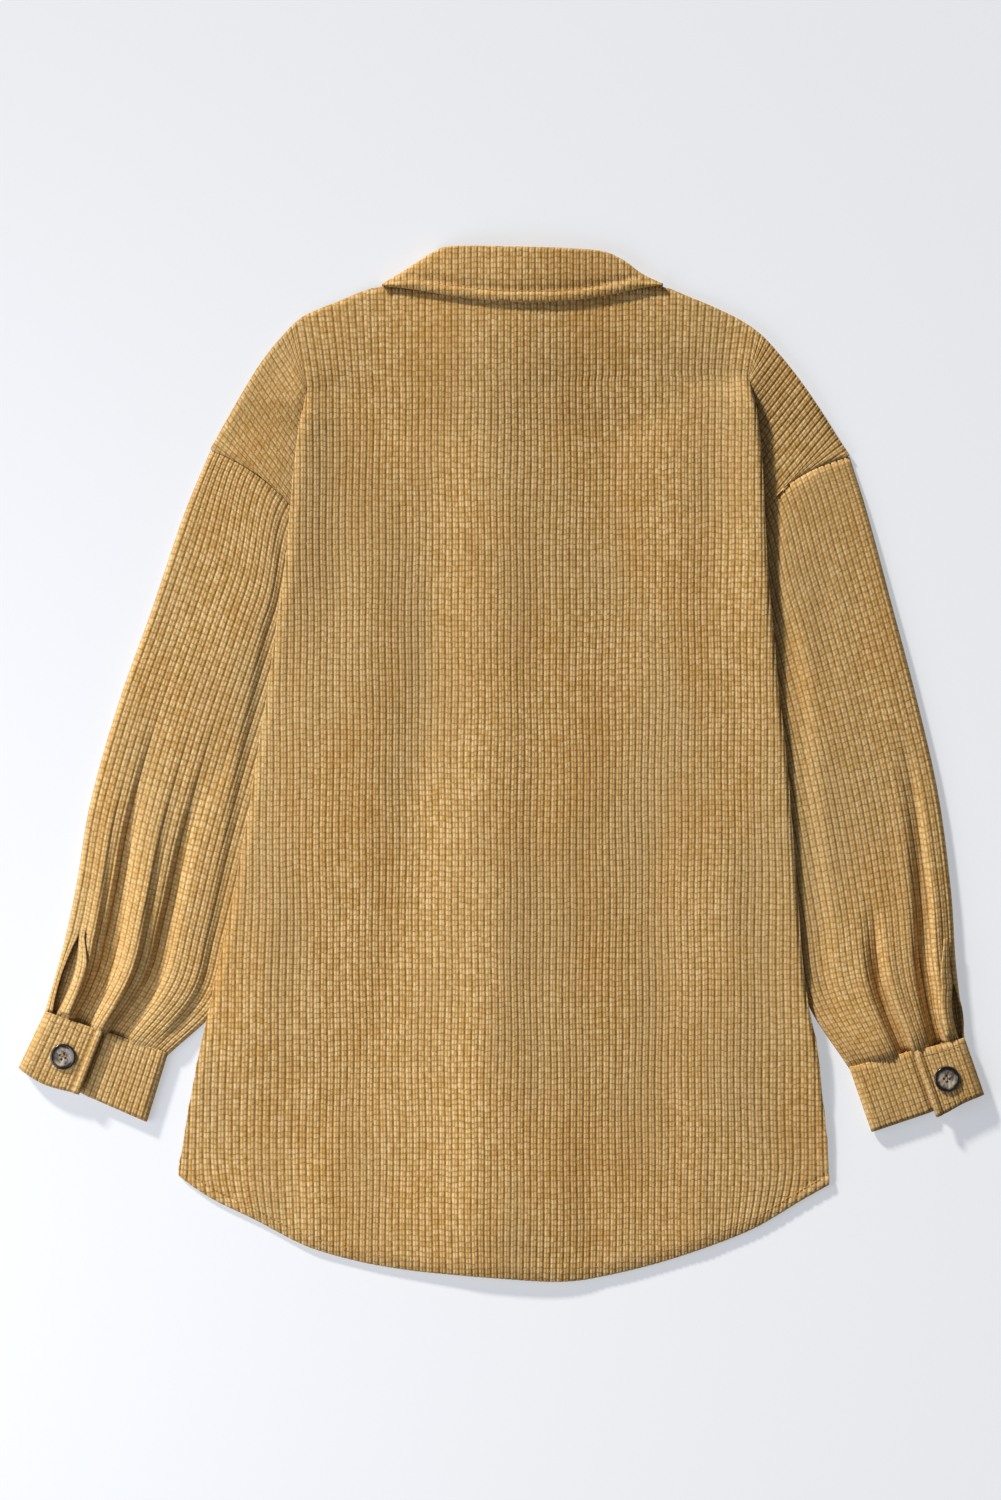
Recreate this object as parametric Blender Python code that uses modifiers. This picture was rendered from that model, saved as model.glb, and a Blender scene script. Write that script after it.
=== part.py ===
"""A button-front corduroy jacket laid flat on its front, back up, neck toward +Y.

Sizes are in millimetres and become metres when a mesh is made. The wearer's
left is at -X. The fronts rest on the floor at z = 0, the back lies on them and
the sleeves' inner edges are folded in between the two below the armholes.
"""

from typing import NamedTuple

import bmesh
import bpy
import numpy as np

MM = 0.001
NAME = "button_front_jacket"

# Cloth
WALL = 1.6
RIB = 0.9
WALE = 5.2
SEAM_GAP = 0.4
LAY_GAP = 0.6

# Front opening: the right front laps the left on this line
OPENING_X = 5.0
LAP_HALF = 18.0
FRONT_INSET = 6.0
CHANNEL_RISE = 4.4
CHANNEL_FLAT = 13.0
CHANNEL_EDGE = 42.0
OPENING_RISE = 7.3
OPENING_SPREAD = 54.0

# Collar
COLLAR_WALL = 1.6
COLLAR_LIFT = 2.1
COLLAR_LEFT = -87.0
COLLAR_RIGHT = 121.0

# Sleeve
SLEEVE_EDGE = 4.0
SLEEVE_WALES = 26
SLEEVE_STATIONS = 9
TUCK_FLOOR = 2.0
TUCK_TOP = 5.7

# Cuff
CUFF_WALL = 2.0
CUFF_TOP = 8.0
CUFF_WALES = 20

# Buttons
BUTTON_RADIUS = 10.2
BUTTON_HEIGHT = 3.6
BUTTON_STEPS = 20
FRONT_BUTTON_TOP = 254.0
FRONT_BUTTON_STEP = 104.0
FRONT_BUTTONS = 6


class SideRow(NamedTuple):
    """The body's two side edges at one height up the back."""

    y: float
    left: float
    right: float
    tuck: float


SIDES = (
    SideRow(y=-340, left=-259, right=263, tuck=4),
    SideRow(y=-321, left=-255, right=261, tuck=4),
    SideRow(y=-273, left=-247, right=255, tuck=4),
    SideRow(y=-226, left=-238, right=250, tuck=6),
    SideRow(y=-186, left=-229, right=242, tuck=14),
    SideRow(y=-129, left=-217, right=236, tuck=20),
    SideRow(y=-84, left=-208, right=233, tuck=24),
    SideRow(y=-47, left=-201, right=230, tuck=27),
    SideRow(y=12, left=-192, right=225, tuck=33),
    SideRow(y=54, left=-185, right=220, tuck=38),
    SideRow(y=98, left=-179, right=216, tuck=42),
    SideRow(y=161, left=-170, right=210, tuck=44),
    SideRow(y=207, left=-166, right=208, tuck=30),
    SideRow(y=262, left=-160, right=204, tuck=18),
    SideRow(y=296, left=-153, right=198, tuck=16),
    SideRow(y=320, left=-148, right=191, tuck=16),
)


class Point(NamedTuple):
    """A point of an outline seen from above."""

    x: float
    y: float


HEM = (
    Point(-259, -323), Point(-234, -341), Point(-194, -361), Point(-155, -381), Point(-115, -393),
    Point(-76, -400), Point(-36, -404), Point(3, -407), Point(43, -409), Point(62, -409),
    Point(82, -405), Point(122, -395), Point(161, -383), Point(201, -367), Point(240, -344),
    Point(265, -330),
)
FRONT_HEM = (
    Point(-262, -318), Point(-180, -336), Point(-90, -350), Point(5, -354), Point(100, -350),
    Point(190, -338), Point(266, -322),
)
SHOULDER_LEFT = (
    Point(-92, 378), Point(-111, 373), Point(-127, 366), Point(-143, 360), Point(-159, 352),
    Point(-175, 336), Point(-190, 317), Point(-206, 291), Point(-217, 272), Point(-230, 249),
)
SHOULDER_RIGHT = (
    Point(126, 378), Point(141, 372), Point(157, 366), Point(173, 359), Point(189, 351),
    Point(205, 340), Point(220, 324), Point(236, 304), Point(252, 281), Point(268, 256),
    Point(276, 244),
)
NECK_LOW = 372.0
NECK_RISE = 6.0


class SleeveRow(NamedTuple):
    """One flattened section of a sleeve, from its outer edge to its inner one."""

    outer_x: float
    outer_y: float
    inner_x: float
    inner_y: float
    bow: float
    tuck: float
    top: float


SLEEVE_LEFT = (
    SleeveRow(-230, 248, -135, 122, bow=24, tuck=91, top=5.0),
    SleeveRow(-251, 197, -139, 98, bow=10, tuck=50, top=6.4),
    SleeveRow(-277, 120, -149, 58, bow=3, tuck=37, top=7.4),
    SleeveRow(-303, 47, -167, -1, bow=0, tuck=28, top=7.6),
    SleeveRow(-325, -31, -189, -77, bow=0, tuck=19, top=7.6),
    SleeveRow(-336, -96, -206, -141, bow=0, tuck=14, top=7.8),
    SleeveRow(-347, -147, -221, -189, bow=0, tuck=10, top=8.2),
    SleeveRow(-361, -197, -264, -231, bow=0, tuck=0, top=8.4),
)
SLEEVE_RIGHT = (
    SleeveRow(276, 243, 185, 130, bow=27, tuck=79, top=5.0),
    SleeveRow(290, 198, 185, 98, bow=11, tuck=40, top=6.4),
    SleeveRow(309, 127, 190, 66, bow=3, tuck=32, top=7.4),
    SleeveRow(329, 51, 202, 15, bow=0, tuck=23, top=7.6),
    SleeveRow(346, -24, 216, -51, bow=0, tuck=14, top=7.6),
    SleeveRow(356, -100, 230, -125, bow=0, tuck=8, top=7.8),
    SleeveRow(360, -159, 241, -186, bow=0, tuck=4, top=8.2),
    SleeveRow(367, -218, 276, -242, bow=0, tuck=0, top=8.4),
)


class FoldRow(NamedTuple):
    """A crease along a sleeve: where it lies across it at the cuff and where it fades out."""

    at_cuff: float
    at_fade: float
    fade: float
    rise: float
    half_width: float


FOLDS_LEFT = (
    FoldRow(at_cuff=0.22, at_fade=0.12, fade=0.62, rise=2.4, half_width=9),
    FoldRow(at_cuff=0.38, at_fade=0.22, fade=0.45, rise=-2.6, half_width=7),
    FoldRow(at_cuff=0.50, at_fade=0.44, fade=0.40, rise=4.0, half_width=9),
    FoldRow(at_cuff=0.62, at_fade=0.56, fade=0.42, rise=-2.4, half_width=8),
    FoldRow(at_cuff=0.76, at_fade=0.72, fade=0.62, rise=2.2, half_width=11),
)
FOLDS_RIGHT = (
    FoldRow(at_cuff=0.17, at_fade=0.09, fade=0.50, rise=2.6, half_width=9),
    FoldRow(at_cuff=0.29, at_fade=0.16, fade=0.42, rise=-2.6, half_width=7),
    FoldRow(at_cuff=0.42, at_fade=0.40, fade=0.46, rise=4.0, half_width=9),
    FoldRow(at_cuff=0.56, at_fade=0.58, fade=0.48, rise=-2.4, half_width=8),
    FoldRow(at_cuff=0.74, at_fade=0.72, fade=0.62, rise=2.0, half_width=11),
)
SLIT_START = 0.83
SLIT_OPEN = 2.4


class Cuff(NamedTuple):
    """A cuff seen from above: its four corners, and where its tab, slit and button are across it."""

    outer_seam: Point
    inner_seam: Point
    outer_edge: Point
    inner_edge: Point
    tab: float
    slit: float
    button_u: float
    button_v: float


CUFF_LEFT = Cuff(
    outer_seam=Point(-361, -197), inner_seam=Point(-264, -231),
    outer_edge=Point(-381, -239), inner_edge=Point(-280, -283),
    tab=0.48, slit=0.11, button_u=0.27, button_v=0.55,
)
CUFF_RIGHT = Cuff(
    outer_seam=Point(367, -218), inner_seam=Point(276, -242),
    outer_edge=Point(382, -261), inner_edge=Point(293, -291),
    tab=0.45, slit=0.07, button_u=0.26, button_v=0.54,
)


def smooth(low, high, value):
    """0 below low, 1 above high and an S-curve between."""
    part = np.clip((value - low) / (high - low), 0.0, 1.0)
    return part * part * (3.0 - 2.0 * part)


def through(knots, values, at):
    """A smooth curve through points: cubic pieces with the mean slope of their neighbours."""
    knots = np.asarray(knots, float)
    values = np.asarray(values, float)
    at = np.clip(at, knots[0], knots[-1])
    steps = np.diff(knots)
    chords = np.diff(values) / steps
    slopes = np.concatenate([chords[:1], (chords[:-1] + chords[1:]) / 2, chords[-1:]])
    piece = np.clip(np.searchsorted(knots, at) - 1, 0, len(steps) - 1)
    part = (at - knots[piece]) / steps[piece]
    rest = 1.0 - part
    bends = slopes[piece] * rest - slopes[piece + 1] * part
    value = values[piece] * rest ** 2 * (1 + 2 * part) + values[piece + 1] * part ** 2 * (3 - 2 * part)
    return value + bends * part * rest * steps[piece]


def column(rows, name):
    """One named column of a table."""
    return [getattr(row, name) for row in rows]


def side_edge(side, y):
    """X of the body's side edge at a height y."""
    return through(column(SIDES, "y"), column(SIDES, side), y)


def side_height(side, x):
    """The height at which the body's side edge passes x."""
    heights = np.linspace(SIDES[0].y, SIDES[-1].y, 400)
    edges = side_edge(side, heights)
    order = np.argsort(edges)
    return np.interp(x, edges[order], heights[order])


PIVOT_LEFT = Point(-153.0, 296.0)
PIVOT_RIGHT = Point(195.0, 307.0)


def pivot_height(x):
    """Height of the line between the tops of the two armhole folds."""
    return np.interp(x, [PIVOT_LEFT.x, PIVOT_RIGHT.x], [PIVOT_LEFT.y, PIVOT_RIGHT.y])


def hem(x):
    """Height of the back's hem."""
    return through(column(HEM, "x"), column(HEM, "y"), x)


def neck(x):
    """Height of the back's neck edge, which the collar covers."""
    middle = (COLLAR_LEFT + COLLAR_RIGHT) / 2
    return NECK_LOW + NECK_RISE * ((x - middle) / (COLLAR_RIGHT - middle)) ** 2


def shoulder(x):
    """Height of the upper outline: shoulder, neck and shoulder again."""
    left = through(column(SHOULDER_LEFT[::-1], "x"), column(SHOULDER_LEFT[::-1], "y"), x)
    right = through(column(SHOULDER_RIGHT, "x"), column(SHOULDER_RIGHT, "y"), x)
    middle = np.minimum(neck(x), 378.0)
    return np.where(x < SHOULDER_LEFT[0].x, left, np.where(x > SHOULDER_RIGHT[0].x, right, middle))


def collar_lift(y):
    """How far the collar's front leaf below lifts the cloth of the shoulders."""
    return COLLAR_LIFT * smooth(262, 294, y)


def channel(x, y):
    """Rise of the right front over the row of buttons below it."""
    reach = np.abs(x - OPENING_X)
    return CHANNEL_RISE * (1 - smooth(CHANNEL_FLAT, CHANNEL_EDGE, reach)) + collar_lift(y)


def back_under(x, y):
    """Height of the back's underside over what it lies on, for the body below the shoulders."""
    height = WALL + LAY_GAP + collar_lift(y)
    height = height + OPENING_RISE * np.exp(-((x - OPENING_X) / OPENING_SPREAD) ** 2)
    tuck = np.interp(y, column(SIDES, "y"), column(SIDES, "tuck"))
    for side, sign, pivot in (("left", 1, PIVOT_LEFT.y), ("right", -1, PIVOT_RIGHT.y)):
        inside = np.maximum(sign * (x - side_edge(side, y)), 0.0)
        below = 1 - smooth(pivot - 30, pivot - 2, y)
        lying = smooth(-325, -205, y) * below
        height = height + 6.8 * lying * (1 - smooth(tuck + 4, tuck + 32, inside))
        height = height - 1.2 * lying * (1 - smooth(0, 7, inside))
        ridge = smooth(40, 170, y) * (1 - smooth(pivot - 44, pivot - 4, y))
        height = height + 3.2 * ridge * np.exp(-(inside / 24) ** 2)
    return height


def front_hem(x):
    """Height of the fronts' hem."""
    return through(column(FRONT_HEM, "x"), column(FRONT_HEM, "y"), x)


def sleeve_row(rows, v):
    """The sleeve's section at a part v of its length, from 0 at the armhole to 1 at the cuff."""
    knots = np.linspace(0, 1, len(rows))
    return SleeveRow(*(float(through(knots, column(rows, name), v)) for name in SleeveRow._fields))


def section_plan(row, s):
    """Points across a sleeve section seen from above, s from 0 at its outer edge to 1."""
    chord = np.array([row.inner_x - row.outer_x, row.inner_y - row.outer_y])
    width = np.hypot(*chord)
    normal = np.array([-chord[1], chord[0]]) / width
    if normal[1] < 0:
        normal = -normal
    bow = 4 * row.bow * s * (1 - s)
    return row.outer_x + chord[0] * s + normal[0] * bow, row.outer_y + chord[1] * s + normal[1] * bow


def section_width(row):
    """Width of a flattened sleeve section along its bowed line."""
    x, y = section_plan(row, np.linspace(0, 1, 30))
    return float(np.sum(np.hypot(np.diff(x), np.diff(y))))


def sleeve_folds(folds, s, v, width):
    """Rise of the sleeve's upper side from its creases."""
    total = 0.0
    for fold in folds:
        grown = smooth(fold.fade, 0.98, v)
        along = np.clip((v - fold.fade) / (1 - fold.fade), 0, 1)
        centre = fold.at_fade + (fold.at_cuff - fold.at_fade) * along
        total = total + fold.rise * grown * np.exp(-(((s - centre) * width) / fold.half_width) ** 2)
    return total


def sleeve_heights(row, folds, s, v, inset):
    """Lower and upper height of a sleeve's wall across a section, inset from its outer faces."""
    width = section_width(row)
    edge = 1 - row.tuck / width
    tucked = smooth(edge - 16 / width, edge - 3 / width, s)
    held = smooth(1, 5, row.tuck)
    under = smooth(edge - 26 / width, edge - 6 / width, s)
    top = np.maximum(row.top + sleeve_folds(folds, s, v, width), 4.7)
    top = top + (TUCK_TOP - top) * tucked * held
    low = TUCK_FLOOR * under * held + inset
    top = top - inset
    radius = SLEEVE_EDGE - inset
    reach = np.minimum(s, 1 - s) * (width - 2 * inset)
    swell = np.sqrt(np.clip(1 - np.clip((radius - reach) / radius, 0, 1) ** 2, 0, 1))
    middle = low * 0.5 + np.minimum(top, 2 * SLEEVE_EDGE - inset + low) * 0.5
    return middle - (middle - low) * swell, middle + (top - middle) * swell


class Sheet:
    """An open cloth surface with ribs in its outer points and plainer points behind them."""

    def __init__(self):
        self.outer = {}
        self.inner = {}
        self.faces = []
        self.inner_faces = []

    def grid(self, columns, backed):
        """Join columns of keys into faces; only the backed columns have points behind them."""
        self.faces += self.quads(columns)
        kept = [keys for index, keys in enumerate(columns) if index in backed]
        self.inner_faces += [quad[::-1] for quad in self.quads(kept)]

    def legs(self, columns, backed, top):
        """Join only the backed columns below a row, and fan them to every column at that row."""
        kept = sorted(backed)
        self.grid([columns[index][:top] for index in kept], range(len(kept)))
        for left, right in zip(kept, kept[1:]):
            chain = [columns[index][top] for index in range(left, right + 1)]
            low = (columns[left][top - 1], columns[right][top - 1])
            self.faces.append((*low, *chain[::-1]))
            self.inner_faces.append((low[0], columns[left][top], columns[right][top], low[1]))

    @staticmethod
    def quads(columns):
        """Four-sided faces between neighbouring columns of keys."""
        faces = []
        for left, right in zip(columns, columns[1:]):
            for low in range(len(left) - 1):
                faces.append((left[low], right[low], right[low + 1], left[low + 1]))
        return faces

    def rim(self):
        """Faces that close the wall along the surface's free edges."""
        steps = {(a, b) for face in self.faces for a, b in zip(face, face[1:] + face[:1])}
        follow = {a: b for a, b in steps if (b, a) not in steps}
        behind = {key for face in self.inner_faces for key in face}
        rims = []
        while follow:
            start = next(key for key in follow if key in behind)
            chain = [start]
            while True:
                chain.append(follow.pop(chain[-1]))
                if chain[-1] in behind:
                    rims.append((chain[::-1], (chain[0], chain[-1])))
                    chain = [chain[-1]]
                if chain[-1] == start:
                    break
        return rims

    def mesh(self, name):
        """The closed wall as a mesh in metres."""
        used = {key for face in self.faces for key in face}
        behind = {key for face in self.inner_faces for key in face}
        outer = {key: index for index, key in enumerate(k for k in self.outer if k in used)}
        inner = {key: len(outer) + index for index, key in enumerate(k for k in self.inner if k in behind)}
        points = [self.outer[key] for key in outer] + [self.inner[key] for key in inner]
        faces = [[outer[key] for key in face] for face in self.faces]
        faces += [[inner[key] for key in face] for face in self.inner_faces]
        faces += [[outer[key] for key in chain] + [inner[key] for key in pair] for chain, pair in self.rim()]
        mesh = bpy.data.meshes.new(name)
        mesh.from_pydata((np.array(points) * MM).tolist(), [], faces)
        shape = bmesh.new()
        shape.from_mesh(mesh)
        bmesh.ops.recalc_face_normals(shape, faces=shape.faces)
        shape.to_mesh(mesh)
        shape.free()
        return mesh


def material(name, colour, roughness):
    """A plain Principled material."""
    made = bpy.data.materials.new(name)
    made.use_nodes = True
    shader = made.node_tree.nodes["Principled BSDF"]
    shader.inputs["Base Color"].default_value = (*colour, 1.0)
    shader.inputs["Roughness"].default_value = roughness
    return made


def add_part(name, mesh, collection, colour=(0.46, 0.30, 0.12), roughness=0.9):
    """An object of the jacket with its own material."""
    part = bpy.data.objects.new(name, mesh)
    part.data.materials.append(material(name + "_material", colour, roughness))
    collection.objects.link(part)
    return part


def thicken(part, thickness, offset):
    """Give an open surface its wall."""
    wall = part.modifiers.new("wall", "SOLIDIFY")
    wall.thickness = thickness * MM
    wall.offset = offset
    wall.use_even_offset = True
    return part


def surface_mesh(name, points):
    """A plain grid of points as an open mesh in metres, from an array of rows of points."""
    rows, columns = points.shape[:2]
    index = np.arange(rows * columns).reshape(rows, columns)
    corners = (index[:-1, :-1], index[:-1, 1:], index[1:, 1:], index[1:, :-1])
    faces = np.stack([corner.ravel() for corner in corners], axis=1)
    mesh = bpy.data.meshes.new(name)
    mesh.from_pydata((points.reshape(-1, 3) * MM).tolist(), [], faces.tolist())
    return mesh


def seam_curve(rows, t):
    """The armhole seam seen from above, from the shoulder's outer end inward."""
    return section_plan(rows[0], t)


class Flap(NamedTuple):
    """A dropped shoulder: the cloth between the armhole fold and the sleeve's seam."""

    side: str
    pivot: Point
    outline: tuple
    sleeve: tuple
    inward: float
    seam_end: float


FLAPS = (
    Flap("left", PIVOT_LEFT, SHOULDER_LEFT, SLEEVE_LEFT, inward=1.0, seam_end=0.54),
    Flap("right", PIVOT_RIGHT, SHOULDER_RIGHT, SLEEVE_RIGHT, inward=-1.0, seam_end=0.60),
)
FLAP_WALES = 22
FLAP_GAP = 1.0
LOWER_PARTS = (0.0, 0.2, 0.4, 0.57, 0.72, 0.85, 0.94, 1.0)
LOWER_ROWS = len(LOWER_PARTS) - 1
UPPER_ROWS = 4
FLAP_TUCK = 11.0


def flap_outline(flap, part):
    """A point of the shoulder's outline, part 0 above the pivot and 1 at the sleeve's seam."""
    x = np.array(column(flap.outline, "x"), float)
    y = np.array(column(flap.outline, "y"), float)
    along = np.concatenate([[0], np.cumsum(np.hypot(np.diff(x), np.diff(y)))])
    start = np.interp(flap.pivot.x * flap.inward, (x * flap.inward)[::-1], along[::-1])
    at = start + (along[-1] - start) * part
    return through(along, x, at), through(along, y, at)


def flap_column(flap, part, g):
    """Points of one wale of a dropped shoulder, from under the fold to the outline."""
    end_x, end_y = seam_curve(flap.sleeve, flap.seam_end)
    low_y = flap.pivot.y + (end_y - flap.pivot.y) * part ** 1.5
    fold_x = side_edge(flap.side, low_y)
    end_tuck = flap.inward * (end_x - side_edge(flap.side, end_y))
    tuck = -0.8 + (FLAP_TUCK + 0.8) * smooth(0.3, 0.65, part)
    tuck = tuck + (end_tuck - FLAP_TUCK) * smooth(0.7, 1.0, part)
    low_x = fold_x + flap.inward * tuck
    high_x, high_y = flap_outline(flap, part)
    row = flap.sleeve[0]
    chord = np.array([row.inner_x - row.outer_x, row.inner_y - row.outer_y])
    normal = np.array([-chord[1], chord[0]]) / np.hypot(*chord)
    if normal[1] < 0:
        normal = -normal
    bow = (4 * row.bow * flap.seam_end ** 2 * g * (1 - g) + FLAP_GAP) * part ** 2
    return low_x + (high_x - low_x) * g + normal[0] * bow, low_y + (high_y - low_y) * g + normal[1] * bow


def flap_under(x, y, g):
    """Height of the back's underside above the armhole fold, fullest between fold and outline."""
    opening = OPENING_RISE * np.exp(-((x - OPENING_X) / OPENING_SPREAD) ** 2)
    return WALL + LAY_GAP + collar_lift(y) + opening + 1.6 * np.sin(np.pi * g)


def build_back(collection):
    """The back: its wales are columns of points, ribbed outside and plain inside."""
    sheet = Sheet()
    runs = (
        np.linspace(-253, PIVOT_LEFT.x, 39)[:-1],
        np.linspace(PIVOT_LEFT.x, PIVOT_RIGHT.x, 135),
        np.linspace(PIVOT_RIGHT.x, 259, 26)[1:],
    )
    places = np.concatenate(runs)
    first = len(runs[0])
    last = first + len(runs[1]) - 1
    body = []
    for index, x in enumerate(places):
        crest = RIB * ((index - first) % 2)
        low = float(hem(x))
        if index < first:
            high = float(side_height("left", x))
        elif index > last:
            high = float(side_height("right", x))
        else:
            high = float(pivot_height(x))
        keys = []
        for row, part in enumerate(LOWER_PARTS):
            y = low + (high - low) * part
            under = float(back_under(x, y))
            keys.append((index, row))
            sheet.outer[keys[-1]] = (x, y, under + WALL + crest)
            sheet.inner[keys[-1]] = (x, y, under)
        if first <= index <= last:
            for row in range(1, UPPER_ROWS + 1):
                g = row / UPPER_ROWS
                y = high + (float(shoulder(x)) - high) * g
                under = float(flap_under(x, y, g))
                keys.append((index, LOWER_ROWS + row))
                sheet.outer[keys[-1]] = (x, y, under + WALL + crest)
                sheet.inner[keys[-1]] = (x, y, under)
        body.append(keys)
    flaps = {}
    for flap in FLAPS:
        columns = []
        for index in range(1, 2 * FLAP_WALES + 1):
            part = index / (2 * FLAP_WALES)
            keys = []
            for row in range(UPPER_ROWS + 1):
                g = row / UPPER_ROWS
                x, y = flap_column(flap, part, g)
                crowd = min(1.0, 0.3 * part ** 0.5 + g)
                crest = RIB * (index % 2) * crowd
                under = float(flap_under(x, y, g))
                keys.append((flap.side, index, LOWER_ROWS + row))
                sheet.outer[keys[-1]] = (float(x), float(y), under + WALL + crest)
                sheet.inner[keys[-1]] = (float(x), float(y), under)
            columns.append(keys)
        flaps[flap.side] = columns
    count = len(body)
    near_side = {i for i in range(count) if i < 10 or i > count - 10 or first - 4 < i < first + 8 or last - 8 < i}
    backed = {i for i in range(count) if (i in near_side and (i - first) % 2 == 0) or (i - first) % 4 == 0}
    backed |= {0, first, last, count - 1}
    sheet.grid([keys[:LOWER_ROWS + 1] for keys in body], backed)
    middle = [keys[LOWER_ROWS:] for keys in body[first:last + 1]]
    upper = flaps["left"][::-1] + middle + flaps["right"]
    side_count = 2 * FLAP_WALES
    flap_backed = {i for i in range(0, side_count, 4)}
    upper_backed = flap_backed | {side_count + i - first for i in backed if first <= i <= last}
    upper_backed |= {len(upper) - 1 - i for i in flap_backed}
    upper_backed |= {side_count - 1, side_count + len(middle)}
    sheet.grid(upper, upper_backed)
    return add_part("back", sheet.mesh("back"), collection)


def front_outer(flap, y):
    """X of a front's outer edge at a height y: side, armhole seam, then shoulder."""
    t = np.linspace(flap.seam_end, 0, 40)
    seam_x, seam_y = seam_curve(flap.sleeve, t)
    corner = side_edge(flap.side, seam_y[0]) + FRONT_INSET * flap.inward
    seam_x = seam_x + 1.6 * flap.inward
    shoulder_y = np.array(column(flap.outline, "y"), float)[::-1]
    shoulder_x = np.array(column(flap.outline, "x"), float)[::-1]
    seam_low = flap.inward * (seam_x - corner) < 0
    heights = np.concatenate([[seam_y[0] - 2], seam_y[seam_low], shoulder_y[1:]])
    edges = np.concatenate([[corner], seam_x[seam_low], shoulder_x[1:]])
    side = side_edge(flap.side, y) + FRONT_INSET * flap.inward
    return np.where(y < heights[0], side, np.interp(y, heights, edges))


FRONT_COLUMNS = (-18, -13, 0, 13, 18, 22, 28, 35, 42, 58, 75)


def build_front(flap, collection):
    """A front: flat on the floor, lifted along its opening and over the collar's leaf."""
    tip = flap.outline[-1].y
    corner = float(seam_curve(flap.sleeve, flap.seam_end)[1])
    heights = np.concatenate([
        np.linspace(-340, 120, 5), [corner - 3], np.linspace(corner + 4, tip, 6),
        [262, 278, 294, 318, 338, 352, 375.5],
    ])
    lap = OPENING_X + LAP_HALF * flap.inward
    widest = float(front_outer(flap, 338.0))
    places = OPENING_X - flap.inward * np.array(FRONT_COLUMNS)
    part = np.concatenate([(places - lap) / (widest - lap), [0.72, 1.0]])
    points = np.zeros((len(heights), len(part), 3))
    for row, y in enumerate(heights):
        outer = float(front_outer(flap, y))
        start = np.interp(y, [338, 350, 376], [lap, OPENING_X - 40 * flap.inward, flap.outline[0].x])
        x = start + (outer - start) * part
        if y <= 338:
            x[:len(places)] = places
            x[-2] = (places[-1] + outer) / 2
        drop = np.clip((140 - y) / 480, 0, 1)
        level = y + (front_hem(x) + 340) * drop
        points[row] = np.stack([x, level, np.zeros_like(x)], axis=1)
    x, y = points[..., 0], points[..., 1]
    points[..., 2] = channel(x, y)
    if flap.side == "left":
        lapping = smooth(OPENING_X - 75, OPENING_X - 24, x)
        points[..., 2] += (WALL + LAY_GAP) * lapping
        points = points[:, ::-1]
    part = add_part("front_" + flap.side, surface_mesh("front_" + flap.side, points), collection)
    return thicken(part, WALL, 1.0)


def lower_stops(row):
    """Places across a sleeve's lower side, close where it steps up onto the front."""
    width = section_width(row)
    edge = min(1 - row.tuck / width, 0.93)
    foot = edge - 27 / width
    return np.array([0.992, 0.975, edge + 0.5 * (0.975 - edge), edge, edge - 6 / width,
                     edge - 15 / width, foot, 0.5 * foot, 0.03, 0.008])


LOWER_STOPS = 10


def slit_column(cuff):
    """The rib of the sleeve's upper side at which it is slit, and its place across."""
    slit = int(round(cuff.slit * 2 * SLEEVE_WALES))
    return slit, (slit + 0.5) / (2 * SLEEVE_WALES)


def slit_shift(s, slit, v):
    """Places across the sleeve moved apart at its slit toward the cuff."""
    opened = SLIT_OPEN * 0.01 * smooth(SLIT_START, 1.0, v)
    away = np.where(s < slit, -1.0, 1.0)
    reach = np.where(s < slit, slit, 0.25)
    return s + away * opened * np.clip(1 - np.abs(s - slit) / reach, 0, 1)


def build_sleeve(side, rows, folds, cuff, collection):
    """A sleeve: a flattened tube, flat below and ribbed above, slit beside its cuff's tab."""
    sheet = Sheet()
    slit, slit_s = slit_column(cuff)
    places = [("low", 0.0, 0.0)] * LOWER_STOPS
    places += [("high", s, RIB * (i % 2)) for i, s in enumerate(np.linspace(0, 1, 2 * SLEEVE_WALES + 1))]
    first_high = LOWER_STOPS
    columns = []
    for index, (face, s, crest) in enumerate(places):
        keys = []
        for station in range(SLEEVE_STATIONS + 1):
            v = station / SLEEVE_STATIONS
            row = sleeve_row(rows, v)
            width = section_width(row)
            across = slit_shift(s, slit_s, v) if face == "high" else lower_stops(row)[index]
            inset = WALL / width
            inside = inset + across * (1 - 2 * inset)
            for layer, at, depth in ((sheet.outer, across, 0.0), (sheet.inner, inside, WALL)):
                x, y = section_plan(row, at)
                heights = sleeve_heights(row, folds, across, v, depth)
                z = heights[0] if face == "low" else heights[1]
                lift = crest * smooth(0.0, 0.03, min(s, 1 - s)) if depth == 0 else 0.0
                layer[(index, station)] = (float(x), float(y), float(z + lift))
            keys.append((index, station))
        columns.append(keys)
    backed = set(range(first_high)) | {i for i in range(first_high, len(columns)) if (i - first_high) % 2 == 0}
    seam = first_high + slit
    backed |= {seam, seam + 1}
    closed = columns + columns[:1]
    opening = int(np.ceil(SLIT_START * SLEEVE_STATIONS))
    before = [keys[:opening + 1] for keys in closed]
    after = [keys[opening:] for keys in closed]
    around = sorted(backed) + [len(columns)]
    sheet.grid(before, set(around))
    sheet.grid(after[:seam + 1], {i for i in around if i <= seam})
    sheet.grid(after[seam + 1:], {i - seam - 1 for i in around if i > seam})
    return add_part("sleeve_" + side, sheet.mesh("sleeve_" + side), collection)


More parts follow.
